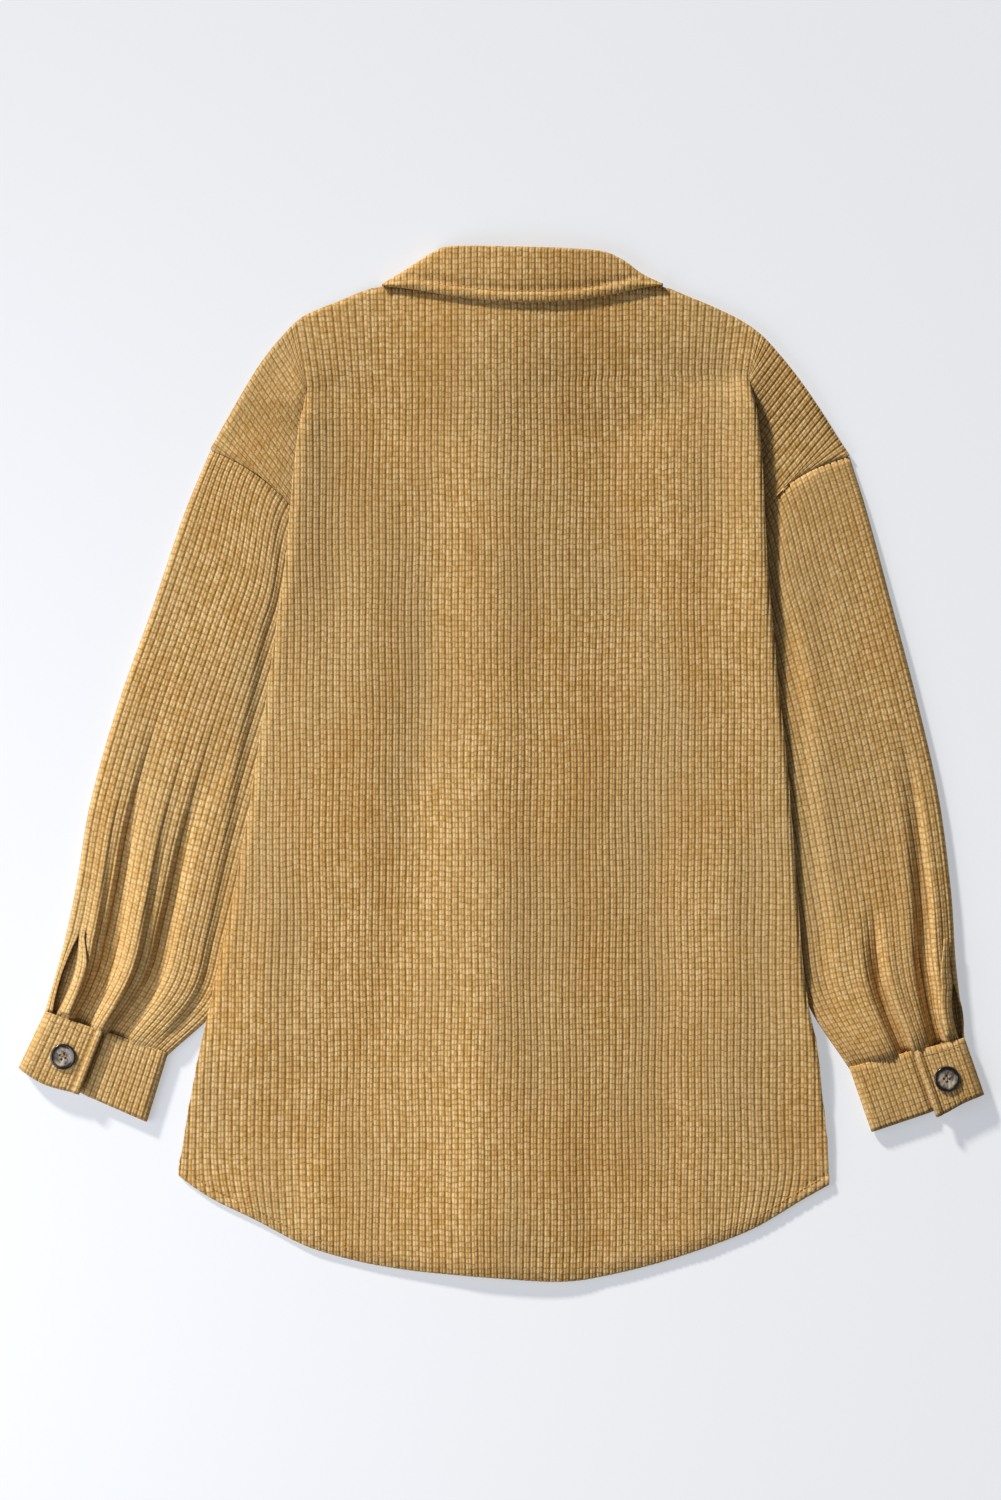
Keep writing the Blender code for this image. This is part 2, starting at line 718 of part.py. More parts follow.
def build_binding(side, rows, folds, cuff, collection):
    """The strip bound along a sleeve's slit, laid on the sleeve's upper side."""
    slit, slit_s = slit_column(cuff)
    runs = np.linspace(SLIT_START - 0.015, 0.992, 9)
    points = np.zeros((len(runs), 4, 3))
    for index, v in enumerate(runs):
        row = sleeve_row(rows, v)
        width = section_width(row)
        s = slit_shift(slit_s + 0.014, slit_s, v) + np.linspace(0, 9.5, 4) / width
        x, y = section_plan(row, s)
        z = sleeve_heights(row, folds, s, v, 0.0)[1] + RIB + 0.7
        points[index] = np.stack([x, y, z], axis=1)
    part = add_part("slit_binding_" + side, surface_mesh("binding", points), collection)
    return thicken(part, 1.2, 1.0 if side == "right" else -1.0)


def cuff_point(cuff, u, v):
    """A point of the cuff seen from above, u across from its outer end and v from the seam."""
    seam = np.array(cuff.outer_seam) * (1 - u) + np.array(cuff.inner_seam) * u
    edge = np.array(cuff.outer_edge) * (1 - u) + np.array(cuff.inner_edge) * u
    return seam * (1 - v) + edge * v


def cuff_path(cuff, width):
    """The cuff's band from its tab over and round to the end below the tab: place, height, rib."""
    tab_top = CUFF_TOP + CUFF_WALL + RIB + 0.4
    outer = tab_top / 2
    inner = CUFF_TOP / 2
    path = []
    over = np.linspace(cuff.tab * width, outer, 2 * int(CUFF_WALES * cuff.tab) + 1)
    path += [(place, tab_top, RIB * (i % 2), "up") for i, place in enumerate(over)]
    for angle in np.linspace(0, np.pi, 6)[1:-1]:
        path.append((outer - outer * np.sin(angle), outer + outer * np.cos(angle), 0.0, angle))
    path += [(place, 0.0, 0.0, "down") for place in np.linspace(outer, width - inner, 4)]
    for angle in np.linspace(np.pi, 2 * np.pi, 6)[1:-1]:
        path.append((width - inner - inner * np.sin(angle), inner + inner * np.cos(angle), 0.0, angle))
    back = np.linspace(width - inner, (cuff.tab - 0.16) * width, 2 * int(CUFF_WALES * (1.08 - cuff.tab)) + 1)
    path += [(place, CUFF_TOP, RIB * (i % 2), "up") for i, place in enumerate(back)]
    return path, outer, inner


def build_cuff(side, cuff, collection):
    """A cuff: one ribbed band closed flat on itself, its tab lying over its other end."""
    sheet = Sheet()
    width = float(np.hypot(*(np.array(cuff.inner_seam) - np.array(cuff.outer_seam))))
    path, outer, inner = cuff_path(cuff, width)
    stops = np.array([0.009, 0.5, 1.0])
    columns = []
    for index, (place, height, crest, facing) in enumerate(path):
        if facing == "up":
            behind = (place, height - CUFF_WALL)
        elif facing == "down":
            behind = (place, height + CUFF_WALL)
        else:
            middle, radius = (outer, outer) if place < width / 2 else (width - inner, inner)
            shrink = (radius - CUFF_WALL) / radius
            behind = (middle + (place - middle) * shrink, radius + (height - radius) * shrink)
        keys = []
        for row, v in enumerate(stops):
            keys.append((index, row))
            at = cuff_point(cuff, place / width, v)
            sheet.outer[keys[-1]] = (*at, height + crest)
            at = cuff_point(cuff, behind[0] / width, v)
            sheet.inner[keys[-1]] = (*at, behind[1])
        columns.append(keys)
    backed = {i for i, (_, _, crest, facing) in enumerate(path) if facing != "up" or i % 4 == 0}
    backed |= {0, len(path) - 1}
    for i, (_, _, _, facing) in enumerate(path[:-1]):
        if (facing == "up") != (path[i + 1][3] == "up"):
            backed |= {i, i + 1}
    sheet.grid(columns, backed)
    return add_part("cuff_" + side, sheet.mesh("cuff_" + side), collection)


COLLAR_TOP = (
    Point(-92, 379), Point(-78, 388), Point(-66, 396), Point(-54, 404), Point(-44, 407.6), Point(-20, 408.6),
    Point(5, 409), Point(30, 408.6), Point(56, 407), Point(82, 404.5), Point(96, 399), Point(110, 388.5),
    Point(127, 379),
)
COLLAR_EDGE = (
    Point(-92, 377), Point(-70, 374.5), Point(-45, 370), Point(-12, 365), Point(21, 363.5),
    Point(55, 365), Point(88, 370.5), Point(113, 376), Point(127, 377),
)
TURN_LEFT = -50.0
TURN_RIGHT = 90.0
COLLAR_WALES = 40


def leaf_front_edge(x, left):
    """Lower edge of the collar's front leaf, down to its point and up to the opening."""
    if left:
        return np.interp(x, [-92, -62, OPENING_X - 2], [377, 302, 338])
    return np.interp(x, [OPENING_X + 2, 84, 127], [338, 302, 377])


def leaf_front_top(x, left):
    """Upper edge of the collar's front leaf: where it turns to the back, then its fold."""
    top = through(column(COLLAR_TOP, "x"), column(COLLAR_TOP, "y"), x)
    if left:
        return np.where(x <= TURN_LEFT, top, np.interp(x, [TURN_LEFT, OPENING_X - 2], [405, 346]))
    return np.where(x >= TURN_RIGHT, top, np.interp(x, [OPENING_X + 2, TURN_RIGHT], [346, 402]))


def leaf_under(x):
    """Height of the leaf's underside above the back's ribs at the neck."""
    return flap_under(x, neck(x), 1.0) + WALL + RIB + 1.1


def collar_column(x, stand, turn):
    """One wale of the collar from its lower leg over the fold to the leaf's edge."""
    top = float(through(column(COLLAR_TOP, "x"), column(COLLAR_TOP, "y"), x))
    edge = float(through(column(COLLAR_EDGE, "x"), column(COLLAR_EDGE, "y"), x))
    upper = float(leaf_under(x)) + COLLAR_WALL
    lower = float(flap_under(x, neck(x), 1.0)) if stand else 0.0
    bend = min(4.0, 0.3 * (top - edge) + 0.8)
    start = float(neck(x)) + SEAM_GAP if stand else float(leaf_front_edge(x, x < 0))
    middle = (upper + lower) / 2
    legs = [(start, lower), ((start + top - bend) / 2, lower), (top - bend, lower)]
    legs += [(top - 0.3 * bend, lower + 0.15 * (upper - lower)), (top, middle)]
    legs += [(top - 0.3 * bend, upper - 0.15 * (upper - lower)), (top - bend, upper + 0.4)]
    legs += [((edge + top - bend) / 2, upper + 0.5), (edge, upper)]
    return legs


def inner_column(legs):
    """The same wale moved in by the wall's thickness."""
    path = np.array(legs)
    ahead = np.gradient(path, axis=0)
    ahead /= np.linalg.norm(ahead, axis=1)[:, None]
    return path + np.stack([-ahead[:, 1], ahead[:, 0]], axis=1) * COLLAR_WALL


def build_collar(collection):
    """The collar: a folded band whose back lies on the back and whose ends turn under the fronts."""
    sheet = Sheet()
    places = np.linspace(COLLAR_LEFT, COLLAR_RIGHT, 2 * COLLAR_WALES + 1)
    columns = []
    kinds = []
    for index, x in enumerate(places):
        stand = TURN_LEFT < x < TURN_RIGHT
        legs = collar_column(float(x), stand, not stand)
        behind = inner_column(legs)
        keys = []
        for row, ((y, z), (y_in, z_in)) in enumerate(zip(legs, behind)):
            crest = RIB * (index % 2) if row >= 5 else 0.0
            keys.append((index, row))
            sheet.outer[keys[-1]] = (float(x), float(y), float(z) + crest)
            sheet.inner[keys[-1]] = (float(x), float(y_in), float(z_in))
        columns.append(keys)
        kinds.append(stand)
    backed = {i for i in range(len(columns)) if i % 4 == 0}
    first = kinds.index(True)
    last = len(kinds) - 1 - kinds[::-1].index(True)
    backed |= {first - 1, first, last, last + 1}
    sheet.grid([keys[4:] for keys in columns], backed)
    sheet.legs(columns[first:last + 1], {i - first for i in backed if first <= i <= last}, 4)
    turned = {"left": columns[:first], "right": columns[last + 1:]}
    for side, run in turned.items():
        offset = 0 if side == "left" else last + 1
        kept = {i - offset for i in backed if offset <= i < offset + len(run)}
        sheet.legs(run, kept, 4)
        left = side == "left"
        inward = [run[-1][:3]] if left else [run[0][:3]]
        reach = np.linspace(TURN_LEFT, OPENING_X - 2, 7)[1:] if left else np.linspace(TURN_RIGHT, OPENING_X + 2, 7)[1:]
        for step, x in enumerate(reach):
            low = float(leaf_front_edge(x, left))
            high = float(leaf_front_top(x, left))
            keys = []
            for row, y in enumerate((low, (low + high) / 2, high)):
                keys.append((side, step, row))
                sheet.outer[keys[-1]] = (float(x), y, 0.0)
                sheet.inner[keys[-1]] = (float(x), y, COLLAR_WALL)
            inward.append(keys)
        if not left:
            inward = inward[::-1]
        sheet.grid(inward, set(range(len(inward))))
    return add_part("collar", sheet.mesh("collar"), collection)


def build_button(name, centre, height, holes, collection, cutters):
    """A turned button; the cuffs' have a raised rim and four thread holes."""
    mesh = bpy.data.meshes.new(name)
    radius = BUTTON_RADIUS
    rim = [
        (0.0, BUTTON_HEIGHT - 1.3), (0.55 * radius, BUTTON_HEIGHT - 1.1), (0.72 * radius, BUTTON_HEIGHT - 0.2),
        (0.84 * radius, BUTTON_HEIGHT), (0.96 * radius, BUTTON_HEIGHT - 0.6),
    ]
    plain = [(0.0, BUTTON_HEIGHT), (0.9 * radius, BUTTON_HEIGHT)]
    profile = (rim if holes else plain) + [(radius, BUTTON_HEIGHT - 1.4), (0.8 * radius, 0.0), (0.0, 0.0)]
    points = [(x * MM, 0.0, z * MM) for x, z in profile]
    mesh.from_pydata(points, [(i, i + 1) for i in range(len(points) - 1)], [])
    part = bpy.data.objects.new(name, mesh)
    part.data.materials.append(material(name + "_material", (0.09, 0.05, 0.02), 0.2))
    part.location = (centre[0] * MM, centre[1] * MM, height * MM)
    collection.objects.link(part)
    screw = part.modifiers.new("turn", "SCREW")
    screw.steps = BUTTON_STEPS
    screw.render_steps = BUTTON_STEPS
    screw.use_merge_vertices = True
    screw.merge_threshold = 0.00005
    screw.use_normal_calculate = True
    if holes:
        for index in range(4):
            angle = np.pi / 4 + index * np.pi / 2
            bpy.ops.mesh.primitive_cylinder_add(
                vertices=8, radius=1.1 * MM, depth=3 * BUTTON_HEIGHT * MM,
                location=((centre[0] + 2.4 * np.cos(angle)) * MM, (centre[1] + 2.4 * np.sin(angle)) * MM,
                          height * MM),
            )
            cutter = bpy.context.object
            cutter.name = f"{name}_hole_{index + 1}"
            cutter.display_type = "WIRE"
            cutter.hide_render = True
            for home in list(cutter.users_collection):
                home.objects.unlink(cutter)
            cutters.objects.link(cutter)
            cut = part.modifiers.new(f"hole_{index + 1}", "BOOLEAN")
            cut.operation = "DIFFERENCE"
            cut.solver = "EXACT"
            cut.object = cutter
    return part


def main():
    """Build every piece of the jacket."""
    for old in list(bpy.data.objects):
        bpy.data.objects.remove(old, do_unlink=True)
    jacket = bpy.data.collections.new(NAME)
    cutters = bpy.data.collections.new("cutters")
    bpy.context.scene.collection.children.link(jacket)
    bpy.context.scene.collection.children.link(cutters)
    build_back(jacket)
    for flap in FLAPS:
        build_front(flap, jacket)
    sides = (("left", SLEEVE_LEFT, FOLDS_LEFT, CUFF_LEFT), ("right", SLEEVE_RIGHT, FOLDS_RIGHT, CUFF_RIGHT))
    for side, rows, folds, cuff in sides:
        build_sleeve(side, rows, folds, cuff, jacket)
        build_binding(side, rows, folds, cuff, jacket)
        build_cuff(side, cuff, jacket)
        centre = cuff_point(cuff, cuff.button_u, cuff.button_v)
        top = CUFF_TOP + CUFF_WALL + 2 * RIB + 0.4
        build_button("cuff_button_" + side, centre, top + 0.3, True, jacket, cutters)
    build_collar(jacket)
    for index in range(FRONT_BUTTONS):
        place = (OPENING_X, FRONT_BUTTON_TOP - index * FRONT_BUTTON_STEP)
        build_button(f"front_button_{index + 1}", place, 0.0, False, jacket, cutters)


main()
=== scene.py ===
"""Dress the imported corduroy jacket: fine ribbed shells, sewing, horn buttons, floor, light and camera.

The jacket lies on its front with its back up and its neck toward +Y. Sizes are
in millimetres and become metres when a mesh is made. The wearer's left is at -X.
"""

from __future__ import annotations

import logging
from dataclasses import dataclass, replace
from enum import Enum
from typing import NamedTuple, Sequence

import bpy
import numpy as np
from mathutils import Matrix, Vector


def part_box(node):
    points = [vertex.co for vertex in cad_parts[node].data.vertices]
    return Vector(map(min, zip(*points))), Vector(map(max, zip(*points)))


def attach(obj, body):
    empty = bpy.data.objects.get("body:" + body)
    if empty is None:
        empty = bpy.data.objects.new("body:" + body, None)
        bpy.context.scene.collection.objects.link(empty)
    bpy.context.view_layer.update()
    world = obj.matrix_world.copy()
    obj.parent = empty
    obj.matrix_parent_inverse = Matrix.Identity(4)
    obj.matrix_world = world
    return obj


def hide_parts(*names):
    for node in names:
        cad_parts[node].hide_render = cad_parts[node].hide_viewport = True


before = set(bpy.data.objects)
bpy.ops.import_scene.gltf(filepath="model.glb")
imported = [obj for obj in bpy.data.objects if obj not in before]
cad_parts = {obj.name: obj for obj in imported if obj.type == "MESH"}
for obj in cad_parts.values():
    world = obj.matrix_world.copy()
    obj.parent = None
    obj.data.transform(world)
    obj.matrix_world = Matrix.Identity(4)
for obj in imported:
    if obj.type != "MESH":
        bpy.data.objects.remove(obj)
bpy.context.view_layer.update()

LOG = logging.getLogger("jacket")
MM = 0.001

# Cloth
WALL = 1.6
CLOTH = 1.2
RIB = 0.9
LAY_GAP = 0.6
WELD = 0.004
RIB_STOPS = np.array([0.0, 0.17, 0.36, 0.5, 0.64, 0.83])
RIB_VALLEY = 0.38
RIB_VALLEY_WIDTH = 0.12
STOP_CLEAR = 0.02
CREASE_POWER = 0.7

# The photograph's frame
IMAGE_HEIGHT = 1500
MM_PER_PIXEL = 0.79


class Side(Enum):
    """The wearer's side."""

    LEFT = "left"
    RIGHT = "right"

    @property
    def inward(self) -> float:
        """The sign of the way from this side toward the middle."""
        return 1.0 if self is Side.LEFT else -1.0


class Point(NamedTuple):
    """A point of an outline seen from above."""

    x: float
    y: float


class SideRow(NamedTuple):
    """The body's two side edges at one height up the back, and how far a sleeve lies under them."""

    y: float
    left: float
    right: float
    tuck: float


class SleeveRow(NamedTuple):
    """One flattened section of a sleeve, from its outer edge to its inner one."""

    outer_x: float
    outer_y: float
    inner_x: float
    inner_y: float
    bow: float
    tuck: float
    top: float

    @property
    def upward(self) -> tuple[np.ndarray, np.ndarray]:
        """The way square to the section, toward the shoulder, in X and Y."""
        chord_x, chord_y = self.inner_x - self.outer_x, self.inner_y - self.outer_y
        length = np.hypot(chord_x, chord_y) * np.where(chord_x < 0, -1.0, 1.0)
        return -chord_y / length, chord_x / length

    def line(self, s: np.ndarray, clear: float = 0.0) -> tuple[np.ndarray, np.ndarray]:
        """Points across the section seen from above: a bowed line from its outer to its inner edge.

        Args:
            s: Parts of the way across.
            clear: How far the line is moved toward the shoulder.

        Returns:
            X and Y of the points.
        """
        up_x, up_y = self.upward
        bow = 4 * self.bow * s * (1 - s) + clear
        x = self.outer_x + (self.inner_x - self.outer_x) * s + up_x * bow
        y = self.outer_y + (self.inner_y - self.outer_y) * s + up_y * bow
        return x, y


class FoldRow(NamedTuple):
    """A pleat running up a sleeve from its cuff: its place there and where it fades, rise and half-widths."""

    at_cuff: float
    at_fade: float
    fade: float
    rise: float
    half_out: float
    half_in: float


class FanRow(NamedTuple):
    """Where a dropped shoulder's wale starts: its part of the outline and of the armhole fold."""

    part: float
    down: float


class EdgeRow(NamedTuple):
    """How one side of the body lies over its sleeve: its rise, its rolled edge and its ridge there."""

    over: float
    over_reach: float
    roll_reach: float
    ridge: float
    ridge_low: float
    ridge_inset: float


class Span(NamedTuple):
    """A range of values from one end to the other."""

    low: float
    high: float


class Crease(NamedTuple):
    """A soft crease of the cloth between two points seen from above; a negative rise is a trough."""

    x0: float
    y0: float
    x1: float
    y1: float
    rise: float
    half_width: float


def smooth(low: float, high: float, value: np.ndarray) -> np.ndarray:
    """0 below low, 1 above high and the S-curve 3p^2 - 2p^3 between."""
    part = np.clip((value - low) / (high - low), 0.0, 1.0)
    return part * part * (3.0 - 2.0 * part)


def through(knots: Sequence[float], values: np.ndarray, at: np.ndarray) -> np.ndarray:
    """A smooth curve through points: cubic pieces with the mean slope of their neighbours.

    Args:
        knots: Rising places of the points.
        values: Their values, along the last axis.
        at: Places to work out: one axis that takes the last axis's place, or any shape for one row.

    Returns:
        The curve's values at those places.
    """
    knots = np.asarray(knots, float)
    values = np.asarray(values, float)
    at = np.clip(at, knots[0], knots[-1])
    steps = np.diff(knots)
    chords = np.diff(values, axis=-1) / steps
    inner = (chords[..., :-1] + chords[..., 1:]) / 2
    slopes = np.concatenate([chords[..., :1], inner, chords[..., -1:]], axis=-1)
    piece = np.clip(np.searchsorted(knots, at) - 1, 0, len(steps) - 1)
    part = (at - knots[piece]) / steps[piece]
    rest = 1.0 - part
    bends = slopes[..., piece] * rest - slopes[..., piece + 1] * part
    before = values[..., piece] * rest ** 2 * (1 + 2 * part)
    after = values[..., piece + 1] * part ** 2 * (3 - 2 * part)
    return before + after + bends * part * rest * steps[piece]


def column(rows: Sequence[NamedTuple], name: str) -> np.ndarray:
    """One named column of a table."""
    return np.array([getattr(row, name) for row in rows], float)


def wale_stops(low: float, high: float) -> np.ndarray:
    """Places of the columns of points between two wale counts: groove, flanks, humps and valley."""
    whole = np.arange(np.floor(low), np.ceil(high))
    stops = (whole[:, None] + RIB_STOPS).ravel()
    inside = stops[(stops > low + STOP_CLEAR) & (stops < high - STOP_CLEAR)]
    return np.concatenate([[low], inside, [high]])


def rib(wale: np.ndarray) -> np.ndarray:
    """Rise of the ribs: the root of a half sine between grooves, with a shallow valley in its middle."""
    part = wale - np.floor(wale)
    hump = np.sqrt(np.clip(np.sin(np.pi * part), 0.0, 1.0))
    valley = RIB_VALLEY * np.exp(-((part - 0.5) / RIB_VALLEY_WIDTH) ** 2)
    return RIB * hump * (1.0 - valley)


def crease_rise(creases: Sequence[Crease], x: np.ndarray, y: np.ndarray) -> np.ndarray:
    """Rise of soft creases: a bell across each one's line, swelling from nothing at both of its ends."""
    total = np.zeros(np.broadcast(x, y).shape)
    for crease in creases:
        along_x = crease.x1 - crease.x0
        along_y = crease.y1 - crease.y0
        length = np.hypot(along_x, along_y)
        part = ((x - crease.x0) * along_x + (y - crease.y0) * along_y) / length ** 2
        aside = ((x - crease.x0) * along_y - (y - crease.y0) * along_x) / length
        swell = np.sin(np.pi * np.clip(part, 0.0, 1.0)) ** CREASE_POWER
        total = total + crease.rise * swell * np.exp(-(aside / crease.half_width) ** 2)
    return total


def to_linear(code: str) -> tuple[float, float, float, float]:
    """An sRGB hex colour as linear red, green, blue and a full alpha."""
    parts = np.array([int(code[i:i + 2], 16) for i in (1, 3, 5)]) / 255.0
    linear = np.where(parts <= 0.04045, parts / 12.92, ((parts + 0.055) / 1.055) ** 2.4)
    return (*linear.tolist(), 1.0)


def add_node(
    tree: bpy.types.NodeTree, kind: str, inputs: dict | None = None, **settings: object,
) -> bpy.types.Node:
    """Add a node with its settings, and set or link its inputs.

    Args:
        tree: The material's node tree.
        kind: The node's type name.
        inputs: By input name or number, a socket to link or a value to set.
        **settings: The node's own settings.

    Returns:
        The new node.
    """
    node = tree.nodes.new(kind)
    for name, value in settings.items():
        setattr(node, name, value)
    for key, value in (inputs or {}).items():
        if isinstance(value, bpy.types.NodeSocket):
            tree.links.new(value, node.inputs[key])
        else:
            node.inputs[key].default_value = value
    return node


def new_tree(name: str) -> tuple[bpy.types.Material, bpy.types.NodeTree, bpy.types.Node]:
    """A new material with its node tree and its Principled shader."""
    made = bpy.data.materials.new(name)
    made.use_nodes = True
    return made, made.node_tree, made.node_tree.nodes["Principled BSDF"]


def maths(
    tree: bpy.types.NodeTree, operation: str, *values: object, **settings: object,
) -> bpy.types.NodeSocket:
    """The result of one step of arithmetic on sockets and numbers."""
    inputs = dict(enumerate(values))
    return add_node(tree, "ShaderNodeMath", inputs, operation=operation, **settings).outputs[0]


def ranged(
    tree: bpy.types.NodeTree, value: bpy.types.NodeSocket, before: Span, after: Span, steps: str = "LINEAR",
) -> bpy.types.NodeSocket:
    """A value carried from one span to another.

    Args:
        tree: The material's node tree.
        value: The value to carry.
        before: The span it comes from; beyond that it stops.
        after: The span it goes to.
        steps: LINEAR, or SMOOTHSTEP for an S-curve.

    Returns:
        The carried value.
    """
    inputs = {"Value": value, "From Min": before.low, "From Max": before.high,
              "To Min": after.low, "To Max": after.high}
    return add_node(tree, "ShaderNodeMapRange", inputs, interpolation_type=steps).outputs[0]


def mixed(tree: bpy.types.NodeTree, share: object, first: object, second: object) -> bpy.types.NodeSocket:
    """A colour between two others, the share being how much of it is the second."""
    return add_node(tree, "ShaderNodeMix", {0: share, 6: first, 7: second}, data_type="RGBA").outputs[2]


def noise(
    tree: bpy.types.NodeTree, place: bpy.types.NodeSocket, size: float, detail: float, **inputs: float,
) -> bpy.types.NodeSocket:
    """A noise whose grain has a size in millimetres where the place is in metres."""
    values = {"Vector": place, "Scale": 1.0 / (size * MM), "Detail": detail, **inputs}
    return add_node(tree, "ShaderNodeTexNoise", values).outputs["Fac"]


@dataclass(frozen=True)
class Corduroy:
    """Washed cotton corduroy with broken wales: a matt, nappy cloth with dark grooves and paler tufts.

    Its ribs come from the mesh. The material breaks each rib into tufts, paints shade into the
    grooves, the rib valleys and the gaps between tufts, paints a highlight on each tuft's middle,
    fuzzes the pile and clouds the colour as washing does.
    """

    name: str = "washed_cotton_corduroy"
    tuft_pale: str = "#E6C38A"
    tuft_deep: str = "#C39A5A"
    wash_warm: str = "#BC8B48"
    wash_grey: str = "#C2A878"
    # groove: the colour of the painted shade in the grooves, the rib valleys and the gaps between tufts
    groove: str = "#84612C"
    sheen_tint: str = "#F2E4C8"
    tuft_length: float = 4.3
    tuft_shift: float = 0.25
    waver: float = 1.2
    waver_size: float = 14.0
    # Widths and strengths of the painted shade in the grooves, the rib valleys and the tuft gaps; they also
    # shape the relief
    groove_half: float = 0.2
    groove_depth: float = 1.0
    valley_half: float = 0.14
    valley_depth: float = 0.55
    tuft_gap: float = 0.17
    gap_depth: float = 0.72
    # A fine noise that breaks up the painted shade
    shade_break_size: float = 3.2
    shade_break_before: Span = Span(0.32, 0.62)
    shade_break_after: Span = Span(0.45, 1.0)
    fuzz: float = 0.9
    fuzz_lift: float = 0.9
    # A painted highlight on each tuft's middle, with painted shade toward its ends
    tuft_highlight_before: Span = Span(0.1, 0.5)
    tuft_highlight_after: Span = Span(-0.3, 0.25)
    cloud_width: float = 46.0
    cloud_length: float = 120.0
    tone_scale: float = 0.6
    tone_distortion: float = 0.4
    wash: Span = Span(0.42, 0.68)
    warm_share: float = 0.42
    grey_share: float = 0.5
    pile_relief: float = 0.7
    relief_height: float = 0.6
    relief_strength: float = 0.38
    roughness: float = 0.95
    specular: float = 0.15
    sheen: float = 0.16
    sheen_roughness: float = 0.5

    def material(self) -> bpy.types.Material:
        """Build the material from the wale map: U counts wales, V is the length along them in millimetres."""
        made, tree, shader = new_tree(self.name)
        wale_map = add_node(tree, "ShaderNodeUVMap", uv_map="wale")
        parts = add_node(tree, "ShaderNodeSeparateXYZ", {"Vector": wale_map.outputs["UV"]})
        wale, along = parts.outputs["X"], parts.outputs["Y"]
        place = add_node(tree, "ShaderNodeTexCoord").outputs["Object"]

        # Where a point is within its wale, its half wale and its tuft
        across = maths(tree, "FRACT", wale)
        half = maths(tree, "FLOOR", maths(tree, "MULTIPLY", wale, 2.0))
        shift = add_node(tree, "ShaderNodeTexWhiteNoise", {"W": half}, noise_dimensions="1D")
        tufts = maths(tree, "DIVIDE", along, self.tuft_length)
        tufts = maths(tree, "MULTIPLY_ADD", shift.outputs["Value"], self.tuft_shift, tufts)
        tufts = maths(tree, "MULTIPLY_ADD", noise(tree, place, self.waver_size, 2.0), self.waver, tufts)
        cell = add_node(tree, "ShaderNodeCombineXYZ", {"X": half, "Y": maths(tree, "FLOOR", tufts)})
        chance = add_node(tree, "ShaderNodeTexWhiteNoise", {"Vector": cell.outputs[0]}, noise_dimensions="2D")

        # Painted shade in the grooves between wales, the valley along each and the gaps between tufts, all
        # broken by a fine noise
        beside = maths(tree, "PINGPONG", across, 0.5)
        off_middle = maths(tree, "SUBTRACT", 0.5, beside)
        gap = maths(tree, "PINGPONG", maths(tree, "FRACT", tufts), 0.5)
        lines = (
            (beside, self.groove_half, self.groove_depth), (off_middle, self.valley_half, self.valley_depth),
            (gap, self.tuft_gap, self.gap_depth),
        )
        dark = 0.0
        for away, half_width, depth in lines:
            line = ranged(tree, away, Span(0.0, half_width), Span(depth, 0.0), "SMOOTHSTEP")
            dark = maths(tree, "MAXIMUM", dark, line)
        shade_break = ranged(tree, noise(tree, place, self.shade_break_size, 3.0), self.shade_break_before, self.shade_break_after)
        dark = maths(tree, "MULTIPLY", dark, shade_break)

        # Colour: tufts from pale to deep with a painted highlight on each tuft's middle, clouded by the wash,
        # with painted shade in the grooves
        cloud_scale = (1000.0 / self.cloud_width, 1000.0 / self.cloud_length, 1000.0 / self.cloud_width)
        clouds = add_node(tree, "ShaderNodeMapping", {"Vector": place, "Scale": cloud_scale}).outputs[0]
        cloud = add_node(tree, "ShaderNodeTexNoise", {"Vector": clouds, "Scale": 1.0, "Detail": 3.0})
        tone = add_node(tree, "ShaderNodeTexNoise", {
            "Vector": clouds, "Scale": self.tone_scale, "Detail": 2.0, "Distortion": self.tone_distortion,
        })
        pile = noise(tree, place, self.fuzz, 3.0)
        lift = maths(tree, "MULTIPLY_ADD", pile, self.fuzz_lift, -0.5 * self.fuzz_lift)
        # Painted highlight on each tuft's middle and painted shade toward its ends
        lift = maths(tree, "ADD", lift, ranged(tree, gap, self.tuft_highlight_before, self.tuft_highlight_after))
        light = maths(tree, "ADD", chance.outputs["Value"], lift, use_clamp=True)
        colour = mixed(tree, light, to_linear(self.tuft_deep), to_linear(self.tuft_pale))
        warm = ranged(tree, cloud.outputs["Fac"], self.wash, Span(0.0, self.warm_share))
        colour = mixed(tree, warm, colour, to_linear(self.wash_warm))
        grey = ranged(tree, tone.outputs["Fac"], self.wash, Span(0.0, self.grey_share))
        colour = mixed(tree, grey, colour, to_linear(self.wash_grey))
        # Painted shade: the groove colour laid over the grooves, the rib valleys and the tuft gaps
        colour = mixed(tree, dark, colour, to_linear(self.groove))
        tree.links.new(colour, shader.inputs["Base Color"])

        # Relief finer than the mesh: rounded tufts and pile
        relief = maths(tree, "SUBTRACT", 1.0, dark)
        relief = maths(tree, "MULTIPLY_ADD", pile, self.pile_relief, relief)
        bump = add_node(tree, "ShaderNodeBump", {
            "Height": relief, "Strength": self.relief_strength, "Distance": self.relief_height * MM,
        })
        tree.links.new(bump.outputs["Normal"], shader.inputs["Normal"])
        shader.inputs["Roughness"].default_value = self.roughness
        shader.inputs["Specular IOR Level"].default_value = self.specular
        shader.inputs["Sheen Weight"].default_value = self.sheen
        shader.inputs["Sheen Roughness"].default_value = self.sheen_roughness
        shader.inputs["Sheen Tint"].default_value = to_linear(self.sheen_tint)
        return made


